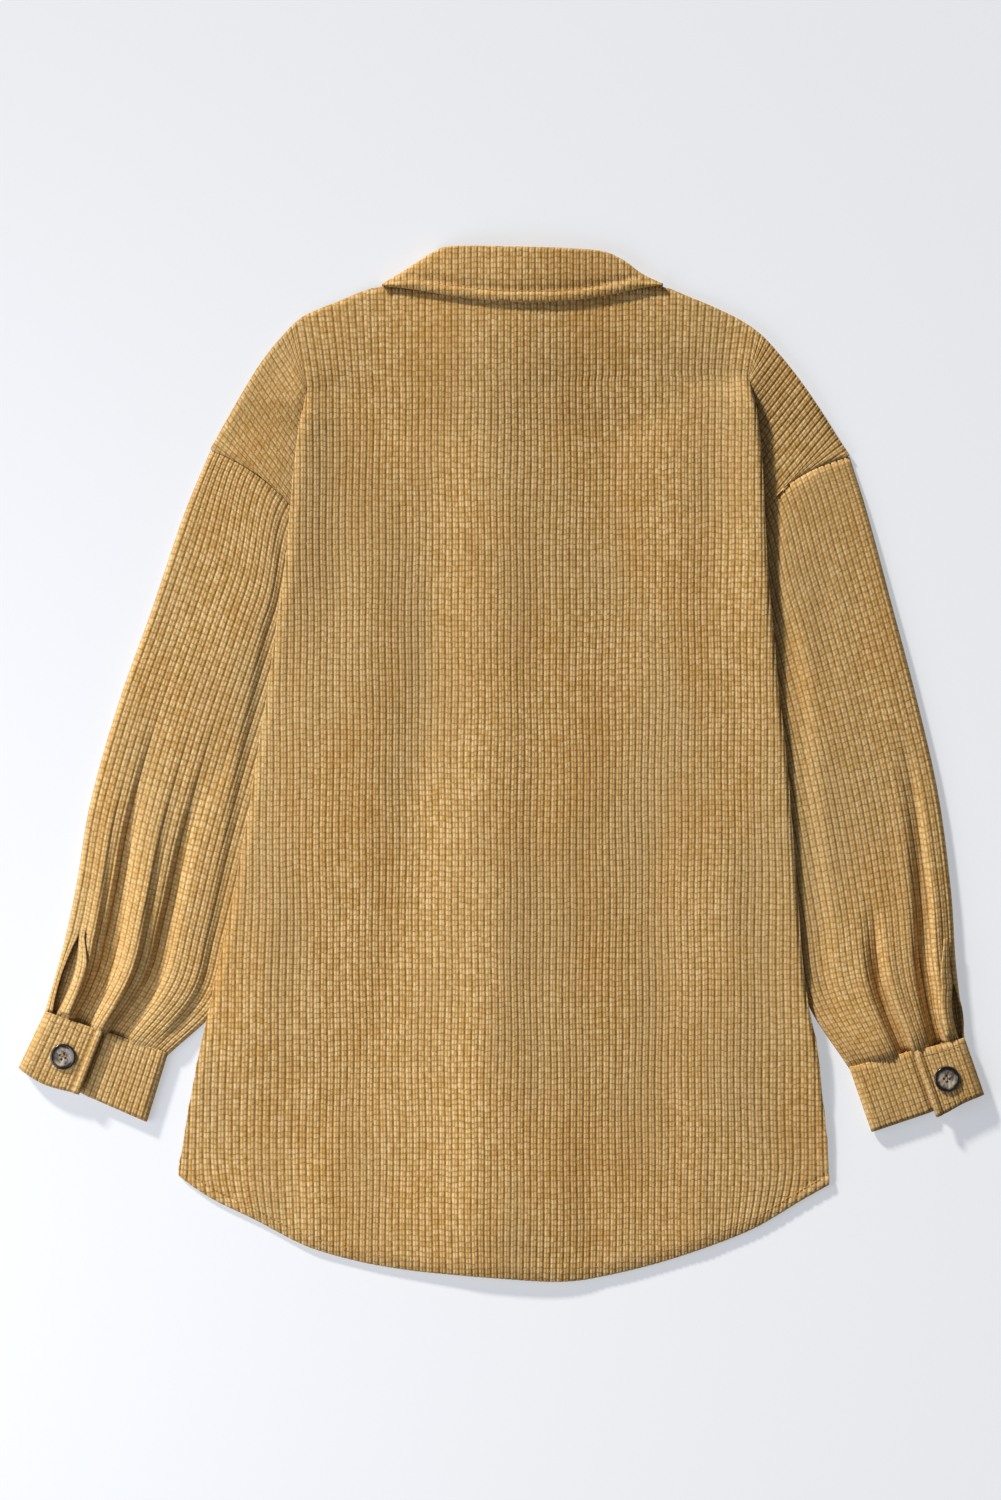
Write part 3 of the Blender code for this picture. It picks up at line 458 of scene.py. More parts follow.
@dataclass(frozen=True)
class SewingThread:
    """Spun polyester sewing thread, dyed to the cloth: small soft highlights on each stitch."""

    name: str = "spun_polyester_thread"
    colour: str = "#C39A5C"
    shade: str = "#A67B3D"
    ply: float = 0.5
    roughness: float = 0.7

    def material(self) -> bpy.types.Material:
        """Build the material: two tones of twisted ply."""
        made, tree, shader = new_tree(self.name)
        place = add_node(tree, "ShaderNodeTexCoord").outputs["Object"]
        twist = noise(tree, place, self.ply, 1.0)
        tone = mixed(tree, twist, to_linear(self.shade), to_linear(self.colour))
        tree.links.new(tone, shader.inputs["Base Color"])
        shader.inputs["Roughness"].default_value = self.roughness
        return made


@dataclass(frozen=True)
class HornButtonFinish:
    """Polished horn-effect polyester resin: dark marbled rim, smoky paler middle, a clear gloss."""

    name: str = "polished_horn_resin"
    dark: str = "#15141A"
    brown: str = "#6B5D50"
    smoke: str = "#CFC5B4"
    vein: float = 7.0
    vein_stretch: float = 0.55
    vein_roughness: float = 0.62
    vein_distortion: float = 1.2
    rim: Span = Span(0.6, 0.98)
    middle_lift: float = 0.13
    rim_drop: float = -0.3
    dark_at: float = 0.41
    brown_at: float = 0.58
    smoke_at: float = 0.8
    roughness: float = 0.16
    refraction: float = 1.54
    coat: float = 0.4
    coat_roughness: float = 0.08

    def material(self, centre: Sequence[float], radius: float, turn: float) -> bpy.types.Material:
        """Build the material round a button's centre.

        Args:
            centre: The button's centre in metres.
            radius: Its radius in metres.
            turn: How far the marbling is turned, in radians.

        Returns:
            The material.
        """
        made, tree, shader = new_tree(self.name)
        place = add_node(tree, "ShaderNodeTexCoord").outputs["Object"]
        centred = add_node(tree, "ShaderNodeMapping", {
            "Vector": place, "Location": [-centre[0], -centre[1], -centre[2]],
        }).outputs[0]
        turned = add_node(tree, "ShaderNodeMapping", {
            "Vector": centred, "Rotation": (0.0, 0.0, turn), "Scale": (1.0, self.vein_stretch, 1.0),
        }).outputs[0]
        rough, twisted = self.vein_roughness, self.vein_distortion
        marble = noise(tree, turned, self.vein, 4.0, Roughness=rough, Distortion=twisted)
        away = add_node(tree, "ShaderNodeVectorMath", {0: centred}, operation="LENGTH").outputs["Value"]
        rim = Span(self.rim.low * radius, self.rim.high * radius)
        middle = ranged(tree, away, rim, Span(self.middle_lift, self.rim_drop), "SMOOTHSTEP")
        ramp = add_node(tree, "ShaderNodeValToRGB", {"Fac": maths(tree, "ADD", marble, middle)})
        ramp.color_ramp.elements[0].position = self.dark_at
        ramp.color_ramp.elements[0].color = to_linear(self.dark)
        ramp.color_ramp.elements[1].position = self.smoke_at
        ramp.color_ramp.elements[1].color = to_linear(self.smoke)
        between = ramp.color_ramp.elements.new(self.brown_at)
        between.color = to_linear(self.brown)
        tree.links.new(ramp.outputs["Color"], shader.inputs["Base Color"])
        shader.inputs["Roughness"].default_value = self.roughness
        shader.inputs["IOR"].default_value = self.refraction
        shader.inputs["Coat Weight"].default_value = self.coat
        shader.inputs["Coat Roughness"].default_value = self.coat_roughness
        return made


@dataclass(frozen=True)
class PaleFloor:
    """Pale, faintly cool floor: its own emission is painted light that keeps the shadows on it light."""

    name: str = "pale_floor_painted_glow"
    colour: str = "#BABCC0"
    glow: str = "#F0F4FA"
    glow_strength: float = 0.455
    grain: float = 3.0
    grain_strength: float = 0.04
    roughness: float = 0.9
    specular: float = 0.2

    def material(self) -> bpy.types.Material:
        """Build the material: a fine grain on an even ground whose emission is painted light."""
        made, tree, shader = new_tree(self.name)
        place = add_node(tree, "ShaderNodeTexCoord").outputs["Object"]
        grain = noise(tree, place, self.grain, 3.0)
        bump = add_node(tree, "ShaderNodeBump", {
            "Height": grain, "Strength": self.grain_strength, "Distance": MM,
        })
        tree.links.new(bump.outputs["Normal"], shader.inputs["Normal"])
        shader.inputs["Base Color"].default_value = to_linear(self.colour)
        # Painted light: an even emission that lightens the shadows cast on the floor
        shader.inputs["Emission Color"].default_value = to_linear(self.glow)
        shader.inputs["Emission Strength"].default_value = self.glow_strength
        shader.inputs["Roughness"].default_value = self.roughness
        shader.inputs["Specular IOR Level"].default_value = self.specular
        return made


def make_piece(
    name: str, points: np.ndarray, faces: list[list[int]], finish: bpy.types.Material,
) -> bpy.types.Object:
    """Add a smooth-shaded object to the scene.

    Args:
        name: Its name.
        points: Its points in millimetres.
        faces: The points' numbers round each face.
        finish: Its material.

    Returns:
        The new object.
    """
    mesh = bpy.data.meshes.new(name)
    mesh.from_pydata((points * MM).tolist(), [], faces)
    mesh.polygons.foreach_set("use_smooth", np.ones(len(mesh.polygons), bool))
    mesh.materials.append(finish)
    mesh.update()
    piece = bpy.data.objects.new(name, mesh)
    bpy.context.scene.collection.objects.link(piece)
    return piece


class ClothShell:
    """Grids of points welded into one surface, with a wale map, and thickened inward into a cloth wall."""

    def __init__(self, name: str) -> None:
        """Start an empty shell with a piece's name."""
        self.name = name
        self.points: list[np.ndarray] = []
        self.maps: list[np.ndarray] = []
        self.quads: list[np.ndarray] = []
        self.count = 0

    def add(self, points: np.ndarray, wale: np.ndarray, along: np.ndarray, flip: bool = False) -> None:
        """Add a grid.

        Args:
            points: Points by column and row, in millimetres.
            wale: The wale count at each point.
            along: The length along the wale at each point, in millimetres.
            flip: Whether the outer face is the one seen with columns rising to the left.
        """
        columns, rows = points.shape[:2]
        index = self.count + np.arange(columns * rows).reshape(columns, rows)
        corners = [index[:-1, :-1], index[1:, :-1], index[1:, 1:], index[:-1, 1:]]
        quads = np.stack([corner.ravel() for corner in corners], axis=1)
        self.quads.append(quads[:, ::-1] if flip else quads)
        self.points.append(points.reshape(-1, 3))
        shape = (columns, rows)
        uv = np.stack([np.broadcast_to(wale, shape), np.broadcast_to(along, shape)], axis=-1)
        self.maps.append(uv.reshape(-1, 2))
        self.count += columns * rows

    def build(self, cloth: bpy.types.Material, wall: float = CLOTH) -> bpy.types.Object:
        """Weld the grids where they meet and make the piece.

        Args:
            cloth: Its material.
            wall: The wall's thickness in millimetres.

        Returns:
            The piece, with a live Solidify wall.
        """
        points = np.concatenate(self.points)
        maps = np.concatenate(self.maps)
        quads = np.concatenate(self.quads)
        keys = np.round(points / WELD).astype(np.int64)
        _, first, place = np.unique(keys, axis=0, return_index=True, return_inverse=True)
        welded = place.reshape(-1)[quads]
        apart = np.all(welded != np.roll(welded, 1, axis=1), axis=1)
        quads, welded = quads[apart], welded[apart]
        piece = make_piece(self.name, points[first], welded.tolist(), cloth)
        layer = piece.data.uv_layers.new(name="wale")
        layer.data.foreach_set("uv", maps[quads].astype(np.float32).ravel())
        solid = piece.modifiers.new("wall", "SOLIDIFY")
        solid.thickness = wall * MM
        solid.offset = -1.0
        return piece


@dataclass(frozen=True)
class Cut:
    """The flat cut of a piece of cloth in metres: width, length and area, and what it lies on."""

    width: float
    length: float
    area: float
    rests_on: tuple[str, ...]


def settle(
    piece: bpy.types.Object, nodes: Sequence[str],
) -> bpy.types.Object:
    """Ride a piece on the jacket and let it replace its nodes.

    Args:
        piece: The new piece.
        nodes: The nodes that it replaces; none for sewing.

    Returns:
        The same piece.
    """
    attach(piece, "root")
    if nodes:
        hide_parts(*nodes)
    LOG.info("%s: %d faces before its wall", piece.name, len(piece.data.polygons))
    return piece


@dataclass(frozen=True)
class BodyPlan:
    """The body seen from above and the height of what lies under it."""

    sides: tuple[SideRow, ...] = (
        SideRow(y=-340, left=-259, right=263, tuck=4), SideRow(y=-321, left=-255, right=261, tuck=4),
        SideRow(y=-273, left=-247, right=255, tuck=4), SideRow(y=-226, left=-238, right=250, tuck=6),
        SideRow(y=-186, left=-229, right=242, tuck=14), SideRow(y=-129, left=-217, right=236, tuck=20),
        SideRow(y=-84, left=-208, right=233, tuck=24), SideRow(y=-47, left=-201, right=230, tuck=27),
        SideRow(y=12, left=-192, right=225, tuck=33), SideRow(y=54, left=-185, right=220, tuck=38),
        SideRow(y=98, left=-179, right=216, tuck=42), SideRow(y=161, left=-170, right=210, tuck=44),
        SideRow(y=207, left=-166, right=208, tuck=30), SideRow(y=262, left=-160, right=204, tuck=18),
        SideRow(y=296, left=-153, right=198, tuck=16), SideRow(y=320, left=-148, right=191, tuck=16),
    )
    back_hem: tuple[Point, ...] = (
        Point(-259, -323), Point(-234, -341), Point(-194, -361), Point(-155, -381), Point(-115, -393),
        Point(-76, -400), Point(-36, -404), Point(3, -407), Point(43, -409.4), Point(62, -408.4),
        Point(82, -405), Point(122, -395.5), Point(161, -383), Point(201, -367), Point(240, -344),
        Point(265, -330),
    )
    front_hem: tuple[Point, ...] = (
        Point(-262, -318), Point(-180, -336), Point(-90, -350), Point(5, -354), Point(100, -350),
        Point(190, -338), Point(266, -322),
    )
    shoulder_left: tuple[Point, ...] = (
        Point(-92, 378), Point(-111, 373), Point(-127, 366), Point(-143, 360), Point(-159, 352),
        Point(-175, 336), Point(-190, 317), Point(-206, 291), Point(-217, 272), Point(-230, 249),
    )
    shoulder_right: tuple[Point, ...] = (
        Point(126, 378), Point(141, 372), Point(157, 366), Point(173, 359), Point(189, 351),
        Point(205, 340), Point(220, 324), Point(236, 304), Point(252, 281), Point(268, 256),
        Point(276, 244),
    )
    pivot_left: Point = Point(-153.0, 296.0)
    pivot_right: Point = Point(195.0, 307.0)
    neck_left: float = -87.0
    neck_right: float = 121.0
    neck_low: float = 372.0
    neck_rise: float = 6.0
    opening_x: float = 5.0
    opening_rise: float = 7.3
    opening_spread: float = 66.0
    opening_hem: float = 0.55
    opening_fade: Span = Span(-404.0, -358.0)
    collar_lift: float = 2.1
    lift_span: Span = Span(262.0, 294.0)
    channel_rise: float = 4.4
    channel_flat: float = 13.0
    channel_edge: float = 42.0
    edge_left: EdgeRow = EdgeRow(
        over=6.0, over_reach=42.0, roll_reach=7.0, ridge=4.6, ridge_low=0.0, ridge_inset=0.0,
    )
    edge_right: EdgeRow = EdgeRow(
        over=4.8, over_reach=90.0, roll_reach=3.5, ridge=7.4, ridge_low=0.38, ridge_inset=2.0,
    )
    near_reach: float = 70.0
    over_part: float = 0.8
    over_span: Span = Span(-325.0, -205.0)
    over_end: Span = Span(1.0, 20.0)
    roll_depth: float = 1.6
    ridge_foot: Span = Span(-330.0, -200.0)
    ridge_span: Span = Span(40.0, 170.0)
    ridge_end: Span = Span(2.0, 30.0)
    ridge_half: float = 24.0
    ridge_narrowing: float = 8.0
    pinch_rise: float = 3.6
    pinch_half: Point = Point(16.0, 20.0)
    flap_crown: float = 1.6

    def pivot(self, side: Side) -> Point:
        """Top of a side's armhole fold."""
        return self.pivot_left if side is Side.LEFT else self.pivot_right

    def outline(self, side: Side) -> tuple[Point, ...]:
        """A shoulder's outline from the neck outward."""
        return self.shoulder_left if side is Side.LEFT else self.shoulder_right

    def side_edge(self, side: Side, y: np.ndarray) -> np.ndarray:
        """X of the body's side edge at a height y."""
        return through(column(self.sides, "y"), column(self.sides, side.value), y)

    def pivot_height(self, x: np.ndarray) -> np.ndarray:
        """Height of the line between the tops of the two armhole folds."""
        return np.interp(x, [self.pivot_left.x, self.pivot_right.x], [self.pivot_left.y, self.pivot_right.y])

    def hem(self, x: np.ndarray) -> np.ndarray:
        """Height of the back's hem."""
        return through(column(self.back_hem, "x"), column(self.back_hem, "y"), x)

    def front_edge(self, x: np.ndarray) -> np.ndarray:
        """Height of the fronts' hem."""
        return through(column(self.front_hem, "x"), column(self.front_hem, "y"), x)

    def neck(self, x: np.ndarray) -> np.ndarray:
        """Height of the back's neck edge, a shallow parabola that the collar covers."""
        middle = (self.neck_left + self.neck_right) / 2
        return self.neck_low + self.neck_rise * ((x - middle) / (self.neck_right - middle)) ** 2

    def shoulder(self, x: np.ndarray) -> np.ndarray:
        """Height of the upper outline: shoulder, neck and shoulder again."""
        left_rows, right_rows = self.shoulder_left[::-1], self.shoulder_right
        left = through(column(left_rows, "x"), column(left_rows, "y"), x)
        right = through(column(right_rows, "x"), column(right_rows, "y"), x)
        middle = np.minimum(self.neck(x), self.shoulder_left[0].y)
        height = np.where(x > self.shoulder_right[0].x, right, middle)
        return np.where(x < self.shoulder_left[0].x, left, height)

    def lift(self, y: np.ndarray) -> np.ndarray:
        """How far the collar's front leaf below lifts the cloth of the shoulders."""
        return self.collar_lift * smooth(*self.lift_span, y)

    def channel(self, x: np.ndarray, y: np.ndarray) -> np.ndarray:
        """Rise of the right front over the row of buttons below it."""
        reach = np.abs(x - self.opening_x)
        return self.channel_rise * (1 - smooth(self.channel_flat, self.channel_edge, reach)) + self.lift(y)

    def opening(self, x: np.ndarray, y: np.ndarray) -> np.ndarray:
        """Swell of the back over the lapped opening below, a bell that sinks past the fronts' hem."""
        bell = np.exp(-((x - self.opening_x) / self.opening_spread) ** 2)
        sunk = self.opening_hem + (1 - self.opening_hem) * smooth(*self.opening_fade, y)
        return self.opening_rise * bell * sunk

    def back_under(self, x: np.ndarray, y: np.ndarray) -> np.ndarray:
        """Height of the back's underside below the armhole folds.

        The rest on the fronts, plus the cloth's span over the opening and the two
        sleeves, which is the cube root of the sum of their cubes, plus at each side a
        rolled edge and the armhole fold's ridge.
        """
        height = WALL + LAY_GAP + self.lift(y)
        raised = self.opening(x, y) ** 3
        tuck = np.interp(y, column(self.sides, "y"), column(self.sides, "tuck"))
        for side in Side:
            form = self.edge_left if side is Side.LEFT else self.edge_right
            below = self.pivot(side).y - y
            inside = np.maximum(side.inward * (x - self.side_edge(side, y)), 0.0)
            near = 1 - smooth(0, self.near_reach, below)
            lying = smooth(*self.over_span, y) * smooth(*self.over_end, below)
            spread = 1 - smooth(tuck + 4 - 12 * near, tuck + 32 + 120 * (1 - near), inside)
            over = self.over_part + (1 - self.over_part) * smooth(0, form.over_reach, inside)
            raised = raised + (form.over * over * lying * spread) ** 3
            height = height - self.roll_depth * lying * (1 - smooth(0, form.roll_reach, inside))
            low = form.ridge_low * smooth(*self.ridge_foot, y)
            ridge = (low + (1 - low) * smooth(*self.ridge_span, y)) * smooth(*self.ridge_end, below)
            crest = inside - form.ridge_inset * (1 - near)
            half = self.ridge_half - self.ridge_narrowing * near
            height = height + form.ridge * ridge * np.exp(-(crest / half) ** 2)
        return height + np.cbrt(raised) + self.pinch(x, y)

    def pinch(self, x: np.ndarray, y: np.ndarray) -> np.ndarray:
        """Swell of the cloth where each armhole fold starts, a bell round its top."""
        total = 0.0
        for side in Side:
            top = self.pivot(side)
            away = ((x - top.x) / self.pinch_half.x) ** 2 + ((y - top.y) / self.pinch_half.y) ** 2
            total = total + self.pinch_rise * np.exp(-away)
        return total

    def flap_under(self, x: np.ndarray, y: np.ndarray, g: np.ndarray) -> np.ndarray:
        """Height of the back's underside above the folds, fullest between fold and outline."""
        height = WALL + LAY_GAP + self.lift(y) + self.opening(x, y) + self.flap_crown * np.sin(np.pi * g)
        return height + self.pinch(x, y)


@dataclass
class Back:
    """The back, cut in one with its dropped shoulders: a lower field, an upper field and two fanned flaps."""

    plan: BodyPlan
    sleeve_tops: dict[Side, SleeveRow]
    seam_ends: dict[Side, float]
    wales: int = 67
    wale_left: float = -17.1
    wale_right: float = 77.6
    lower_rows: int = 58
    upper_rows: int = 18
    lean_left: float = -13.0
    lean_right: float = 10.0
    lean_width_left: float = 100.0
    lean_width_right: float = 70.0
    lean_inset: float = 10.0
    lean_top: float = 70.0
    lean_height: float = 400.0
    wander_fast: float = 0.4
    wander_slow: float = 0.35
    fan_left: float = -9.0
    fan_right: float = 6.0
    fan_width: float = 80.0
    ease: float = 7.0
    ease_height: float = 46.0
    ease_full: float = 28.0
    ease_end: float = 95.0
    flap_wales: int = 23
    flap_gap: float = 0.1
    flap_tuck: float = 11.0
    fold_dip: float = 1.2
    turn_sewn: float = 2.2
    turn_fold: float = 0.4
    turn_depth: float = 1.2
    turn_low: float = 1.4
    starts_left: tuple[FanRow, ...] = (
        FanRow(part=0.0, down=0.0), FanRow(part=0.13, down=0.03), FanRow(part=0.5, down=0.62),
        FanRow(part=0.75, down=0.92), FanRow(part=0.84, down=1.0),
    )
    starts_right: tuple[FanRow, ...] = (
        FanRow(part=0.0, down=0.0), FanRow(part=0.12, down=0.05), FanRow(part=0.5, down=0.6),
        FanRow(part=0.75, down=0.93), FanRow(part=0.82, down=1.0),
    )
    hem_radius: float = 1.3
    hem_allowance: float = 10.0
    hem_stitch: float = 8.5
    hem_swell: float = 0.5
    hem_groove: float = 0.7
    stitch_span: Span = Span(-244.0, 252.0)
    stitch_seat: float = 0.62
    cut: Cut = Cut(0.56, 0.80, 0.345, ("front_left", "front_right", "sleeve_left", "sleeve_right"))
    creases: tuple[Crease, ...] = (
        Crease(26, 352, 28, -372, rise=-1.3, half_width=18),
        Crease(-24, 300, -20, -330, rise=0.8, half_width=20),
        Crease(-96, 210, -112, -260, rise=0.8, half_width=17),
        Crease(-62, 130, -66, -210, rise=-0.8, half_width=14),
        Crease(72, 190, 86, -270, rise=0.7, half_width=19),
        Crease(118, 70, 131, -300, rise=-0.8, half_width=15),
        Crease(-146, 70, -176, -290, rise=-0.6, half_width=14),
        Crease(172, -10, 192, -280, rise=0.8, half_width=15),
        Crease(-128, 250, -134, 40, rise=-0.7, half_width=12),
        Crease(166, 270, 160, 60, rise=-0.7, half_width=13),
        Crease(-20, -230, -26, -420, rise=0.9, half_width=13),
        Crease(66, -280, 78, -430, rise=-0.9, half_width=12),
        Crease(-140, -290, -152, -400, rise=0.9, half_width=13),
        Crease(150, -300, 160, -400, rise=0.8, half_width=12),
    )

    @property
    def pitch(self) -> float:
        """Distance between two grooves."""
        return (self.plan.pivot_right.x - self.plan.pivot_left.x) / self.wales

    def leaning(self, place: np.ndarray, y: np.ndarray) -> np.ndarray:
        """X of a wale at a height: straight down the grain, splayed a little toward the hem's corners."""
        down = np.clip((self.lean_top - y) / self.lean_height, 0.0, 1.0) ** 1.5
        left = smooth(0, self.lean_width_left, self.plan.pivot_left.x + self.lean_inset - place)
        right = smooth(0, self.lean_width_right, place - self.plan.pivot_right.x + self.lean_inset)
        wander = self.wander_fast * np.sin(y / 19 + 2.0 * np.sin(place / 33))
        wander = wander + self.wander_slow * np.sin(y / 43 + place / 21)
        leaning = place + (self.lean_left * left + self.lean_right * right) * down + wander
        return leaning + self.eased(place, y - self.plan.hem(leaning))

    def eased(self, place: np.ndarray, above: np.ndarray) -> np.ndarray:
        """How far the easing of the hem draws the wales of its two corners inward, at heights above it."""
        near = np.clip(1 - above / self.ease_height, 0.0, 1.0) ** 2
        left_edge = self.plan.pivot_left.x + self.wale_left * self.pitch
        right_edge = self.plan.pivot_left.x + self.wale_right * self.pitch
        full, end = self.ease_full, self.ease_end
        left = smooth(0, full, place - left_edge) * (1 - smooth(full, end, place - left_edge))
        right = smooth(0, full, right_edge - place) * (1 - smooth(full, end, right_edge - place))
        return self.ease * near * (left - right)

    def top(self, x: np.ndarray, y: np.ndarray) -> np.ndarray:
        """Height of the cloth's outer face between its ribs, below the armhole folds."""
        return self.plan.back_under(x, y) + WALL + crease_rise(self.creases, x, y)

    def lower_ends(self, place: np.ndarray) -> tuple[np.ndarray, np.ndarray]:
        """Heights at which each wale starts at the hem and ends at the pivots' line or a side edge.

        Args:
            place: The wales' places at the pivots' line.

        Returns:
            The low and the high end of each.
        """
        low = self.plan.hem(place)
        for _ in range(4):
            low = self.plan.hem(self.leaning(place, low))
        high = self.plan.pivot_height(place)
        heights = np.linspace(self.plan.sides[0].y, self.plan.sides[-1].y, 900)
        for side in Side:
            pivot = self.plan.pivot(side)
            beyond = side.inward * (place - pivot.x) < -1e-9
            runs = self.leaning(place[beyond][:, None], heights[None])
            outside = side.inward * (runs - self.plan.side_edge(side, heights)[None]) < 0
            outside &= heights[None] > low[beyond][:, None]
            high[beyond] = heights[np.argmax(outside, axis=1)]
        return low, np.maximum(high, low + 4.0)

    def lower_field(self, wale: np.ndarray) -> np.ndarray:
        """Points of the lower field by wale column and row, with the hem's turned edge first.

        Args:
            wale: Wale count of each column, 0 at the left pivot.

        Returns:
            Points by column and row.
        """
        place = (self.plan.pivot_left.x + wale * self.pitch)[:, None]
        low, high = (end[:, None] for end in self.lower_ends(place[:, 0]))
        start = low + self.hem_radius
        y = start + (high - start) * np.linspace(0, 1, self.lower_rows)[None]
        x = self.leaning(place, y)
        rise = rib(wale)[:, None]
        z = self.top(x, y) + rise
        above = y - low
        z = z + self.hem_swell * np.exp(-((above - 4.5) / 3.0) ** 2)
        z = z - self.hem_groove * np.exp(-((above - self.hem_stitch - 0.5) / 2.2) ** 2)

        # The hem turns under: a half circle and a flat allowance
        angle = np.array([1.0, 0.75, 0.5, 0.25]) * np.pi
        centre = self.top(x[:, :1], y[:, :1]) - self.hem_radius
        bent_y = start - (self.hem_radius + 0.4 * rise) * np.sin(angle)
        bent_z = centre + (self.hem_radius + rise * np.cos(angle / 2) ** 2) * np.cos(angle)
        room = np.clip(self.plan.front_edge(place) - low - 4.0, 2.0, self.hem_allowance)
        under_y = start + room * np.array([1.0, 0.5])
        under_z = np.broadcast_to(bent_z[:, :1], under_y.shape)
        x = np.concatenate([np.repeat(x[:, :1], 6, axis=1), x], axis=1)
        y = np.concatenate([under_y, bent_y, y], axis=1)
        z = np.concatenate([under_z, bent_z, z], axis=1)
        return np.stack([x, y, z], axis=-1)

    def upper_field(self, wale: np.ndarray, first: np.ndarray) -> np.ndarray:
        """Points between the pivots' line and the shoulders, fanned outward near the pivots.

        Args:
            wale: Wale count of each column.
            first: The lower field's last row, which the upper one starts from.

        Returns:
            Points by column and row.
        """
        place = (self.plan.pivot_left.x + wale * self.pitch)[:, None]
        g = np.linspace(0, 1, self.upper_rows)[None]
        left = self.fan_left * (1 - smooth(0, self.fan_width, place - self.plan.pivot_left.x))
        right = self.fan_right * (1 - smooth(0, self.fan_width, self.plan.pivot_right.x - place))
        x = place + (left + right) * g ** 1.2
        low = self.plan.pivot_height(place)
        y = low + (self.plan.shoulder(x[:, -1:]) - low) * g
        z = self.plan.flap_under(x, y, g) + WALL + rib(wale)[:, None]
        points = np.stack([x, y, z], axis=-1)
        points[:, 0] = first
        return points

    def flap_field(self, side: Side, part: np.ndarray) -> np.ndarray:
        """Points of a dropped shoulder's wales, from the armhole fold or the sleeve's seam to the outline.

        Args:
            side: The wearer's side.
            part: Each wale column's part of the outline, from 0 at the pivot.

        Returns:
            Points by column and row; the first row turns down into the fold and the seam.
        """
        plan, pivot, row = self.plan, self.plan.pivot(side), self.sleeve_tops[side]
        seam_end = self.seam_ends[side]
        fan = self.fan_left if side is Side.LEFT else self.fan_right
        starts = self.starts_left if side is Side.LEFT else self.starts_right
        part = part[:, None]
        g = np.linspace(0, 1, self.upper_rows)[None]

        # Low ends, down the fold and then out along the seam
        down = np.clip(through(column(starts, "part"), column(starts, "down"), part), 0.0, 1.0)
        along = seam_end * (1 - np.clip((part - starts[-1].part) / (1 - starts[-1].part), 0.0, 1.0))
        seam_x, seam_y = row.line(along, self.flap_gap)
        end_x, end_y = seam_x[0], seam_y[0]
        fold_y = pivot.y + (end_y - pivot.y) * down
        end_tuck = side.inward * (end_x - plan.side_edge(side, end_y))
        tuck = 0.5 * self.flap_tuck * (smooth(0.0, 0.1, down) + smooth(0.12, 0.5, down))
        tuck = tuck + (end_tuck - self.flap_tuck) * smooth(0.7, 1.0, down)
        fold_x = plan.side_edge(side, fold_y) + side.inward * tuck
        sewn = part > starts[-1].part
        low_x, low_y = np.where(sewn, seam_x, fold_x), np.where(sewn, seam_y, fold_y)

        outline_x = column(plan.outline(side), "x")
        outline_y = column(plan.outline(side), "y")
        length = np.concatenate([[0], np.cumsum(np.hypot(np.diff(outline_x), np.diff(outline_y)))])
        start = np.interp((pivot.x + fan) * side.inward, (outline_x * side.inward)[::-1], length[::-1])
        at = start + (length[-1] - start) * part
        high_x, high_y = through(length, outline_x, at), through(length, outline_y, at)
        x = low_x + (high_x - low_x) * g
        y = low_y + (high_y - low_y) * g
        full = smooth(0.0, 30.0, np.hypot(high_x - low_x, high_y - low_y))
        ribs = rib(part * self.flap_wales) * np.minimum(1.0, 0.4 + g)
        dip = self.fold_dip * (1 - smooth(0.0, 0.16, g)) * smooth(0.0, 0.08, down)
        crown = plan.flap_crown * np.sin(np.pi * g) * full
        z = plan.flap_under(x, y, np.zeros(1)) + WALL + ribs + crown - dip
        points = np.stack([x, y, z], axis=-1)
        turned = points[:, :1].copy()
        turned[..., :2] -= np.where(sewn, self.turn_sewn, self.turn_fold)[..., None] * np.array(row.upward)
        turned[..., 2] = np.maximum(turned[..., 2] - self.turn_depth, self.turn_low)
        return np.concatenate([turned, points], axis=1)

    def build(self, cloth: bpy.types.Material) -> bpy.types.Object:
        """Make the back in the node's place."""
        shell = ClothShell("back_cloth")
        middle = wale_stops(0, self.wales)
        left = wale_stops(self.wale_left, 0)[:-1]
        right = wale_stops(self.wales, self.wale_right)[1:]
        wale = np.concatenate([left, middle, right])
        lower = self.lower_field(wale)
        shell.add(lower, wale[:, None], lower[..., 1])
        inside = slice(len(left), len(left) + len(middle))
        upper = self.upper_field(middle, lower[inside, -1])
        shell.add(upper, middle[:, None], upper[..., 1])
        flap_stops = wale_stops(0, self.flap_wales - 0.06)[1:]
        for side in Side:
            flap = self.flap_field(side, flap_stops / self.flap_wales)
            shared = upper[:1] if side is Side.LEFT else upper[-1:]
            points = np.concatenate([np.concatenate([shared[:, :1], shared], axis=1), flap])
            run = np.linalg.norm(points[:, -1:, :2] - points[..., :2], axis=-1)
            counts = np.concatenate([[0.0], flap_stops])[:, None]
            base = 0 if side is Side.LEFT else self.wales
            shell.add(points, base - side.inward * counts, shared[0, -1, 1] - run, flip=side is Side.LEFT)
        return settle(shell.build(cloth), ["back"])

    def hem_line(self) -> np.ndarray:
        """The line of the hem's stitches, on the ribs."""
        x = np.linspace(*self.stitch_span, 400)
        y = self.plan.hem(x) + self.hem_stitch
        return np.stack([x, y, self.top(x, y) + self.stitch_seat * RIB], axis=-1)


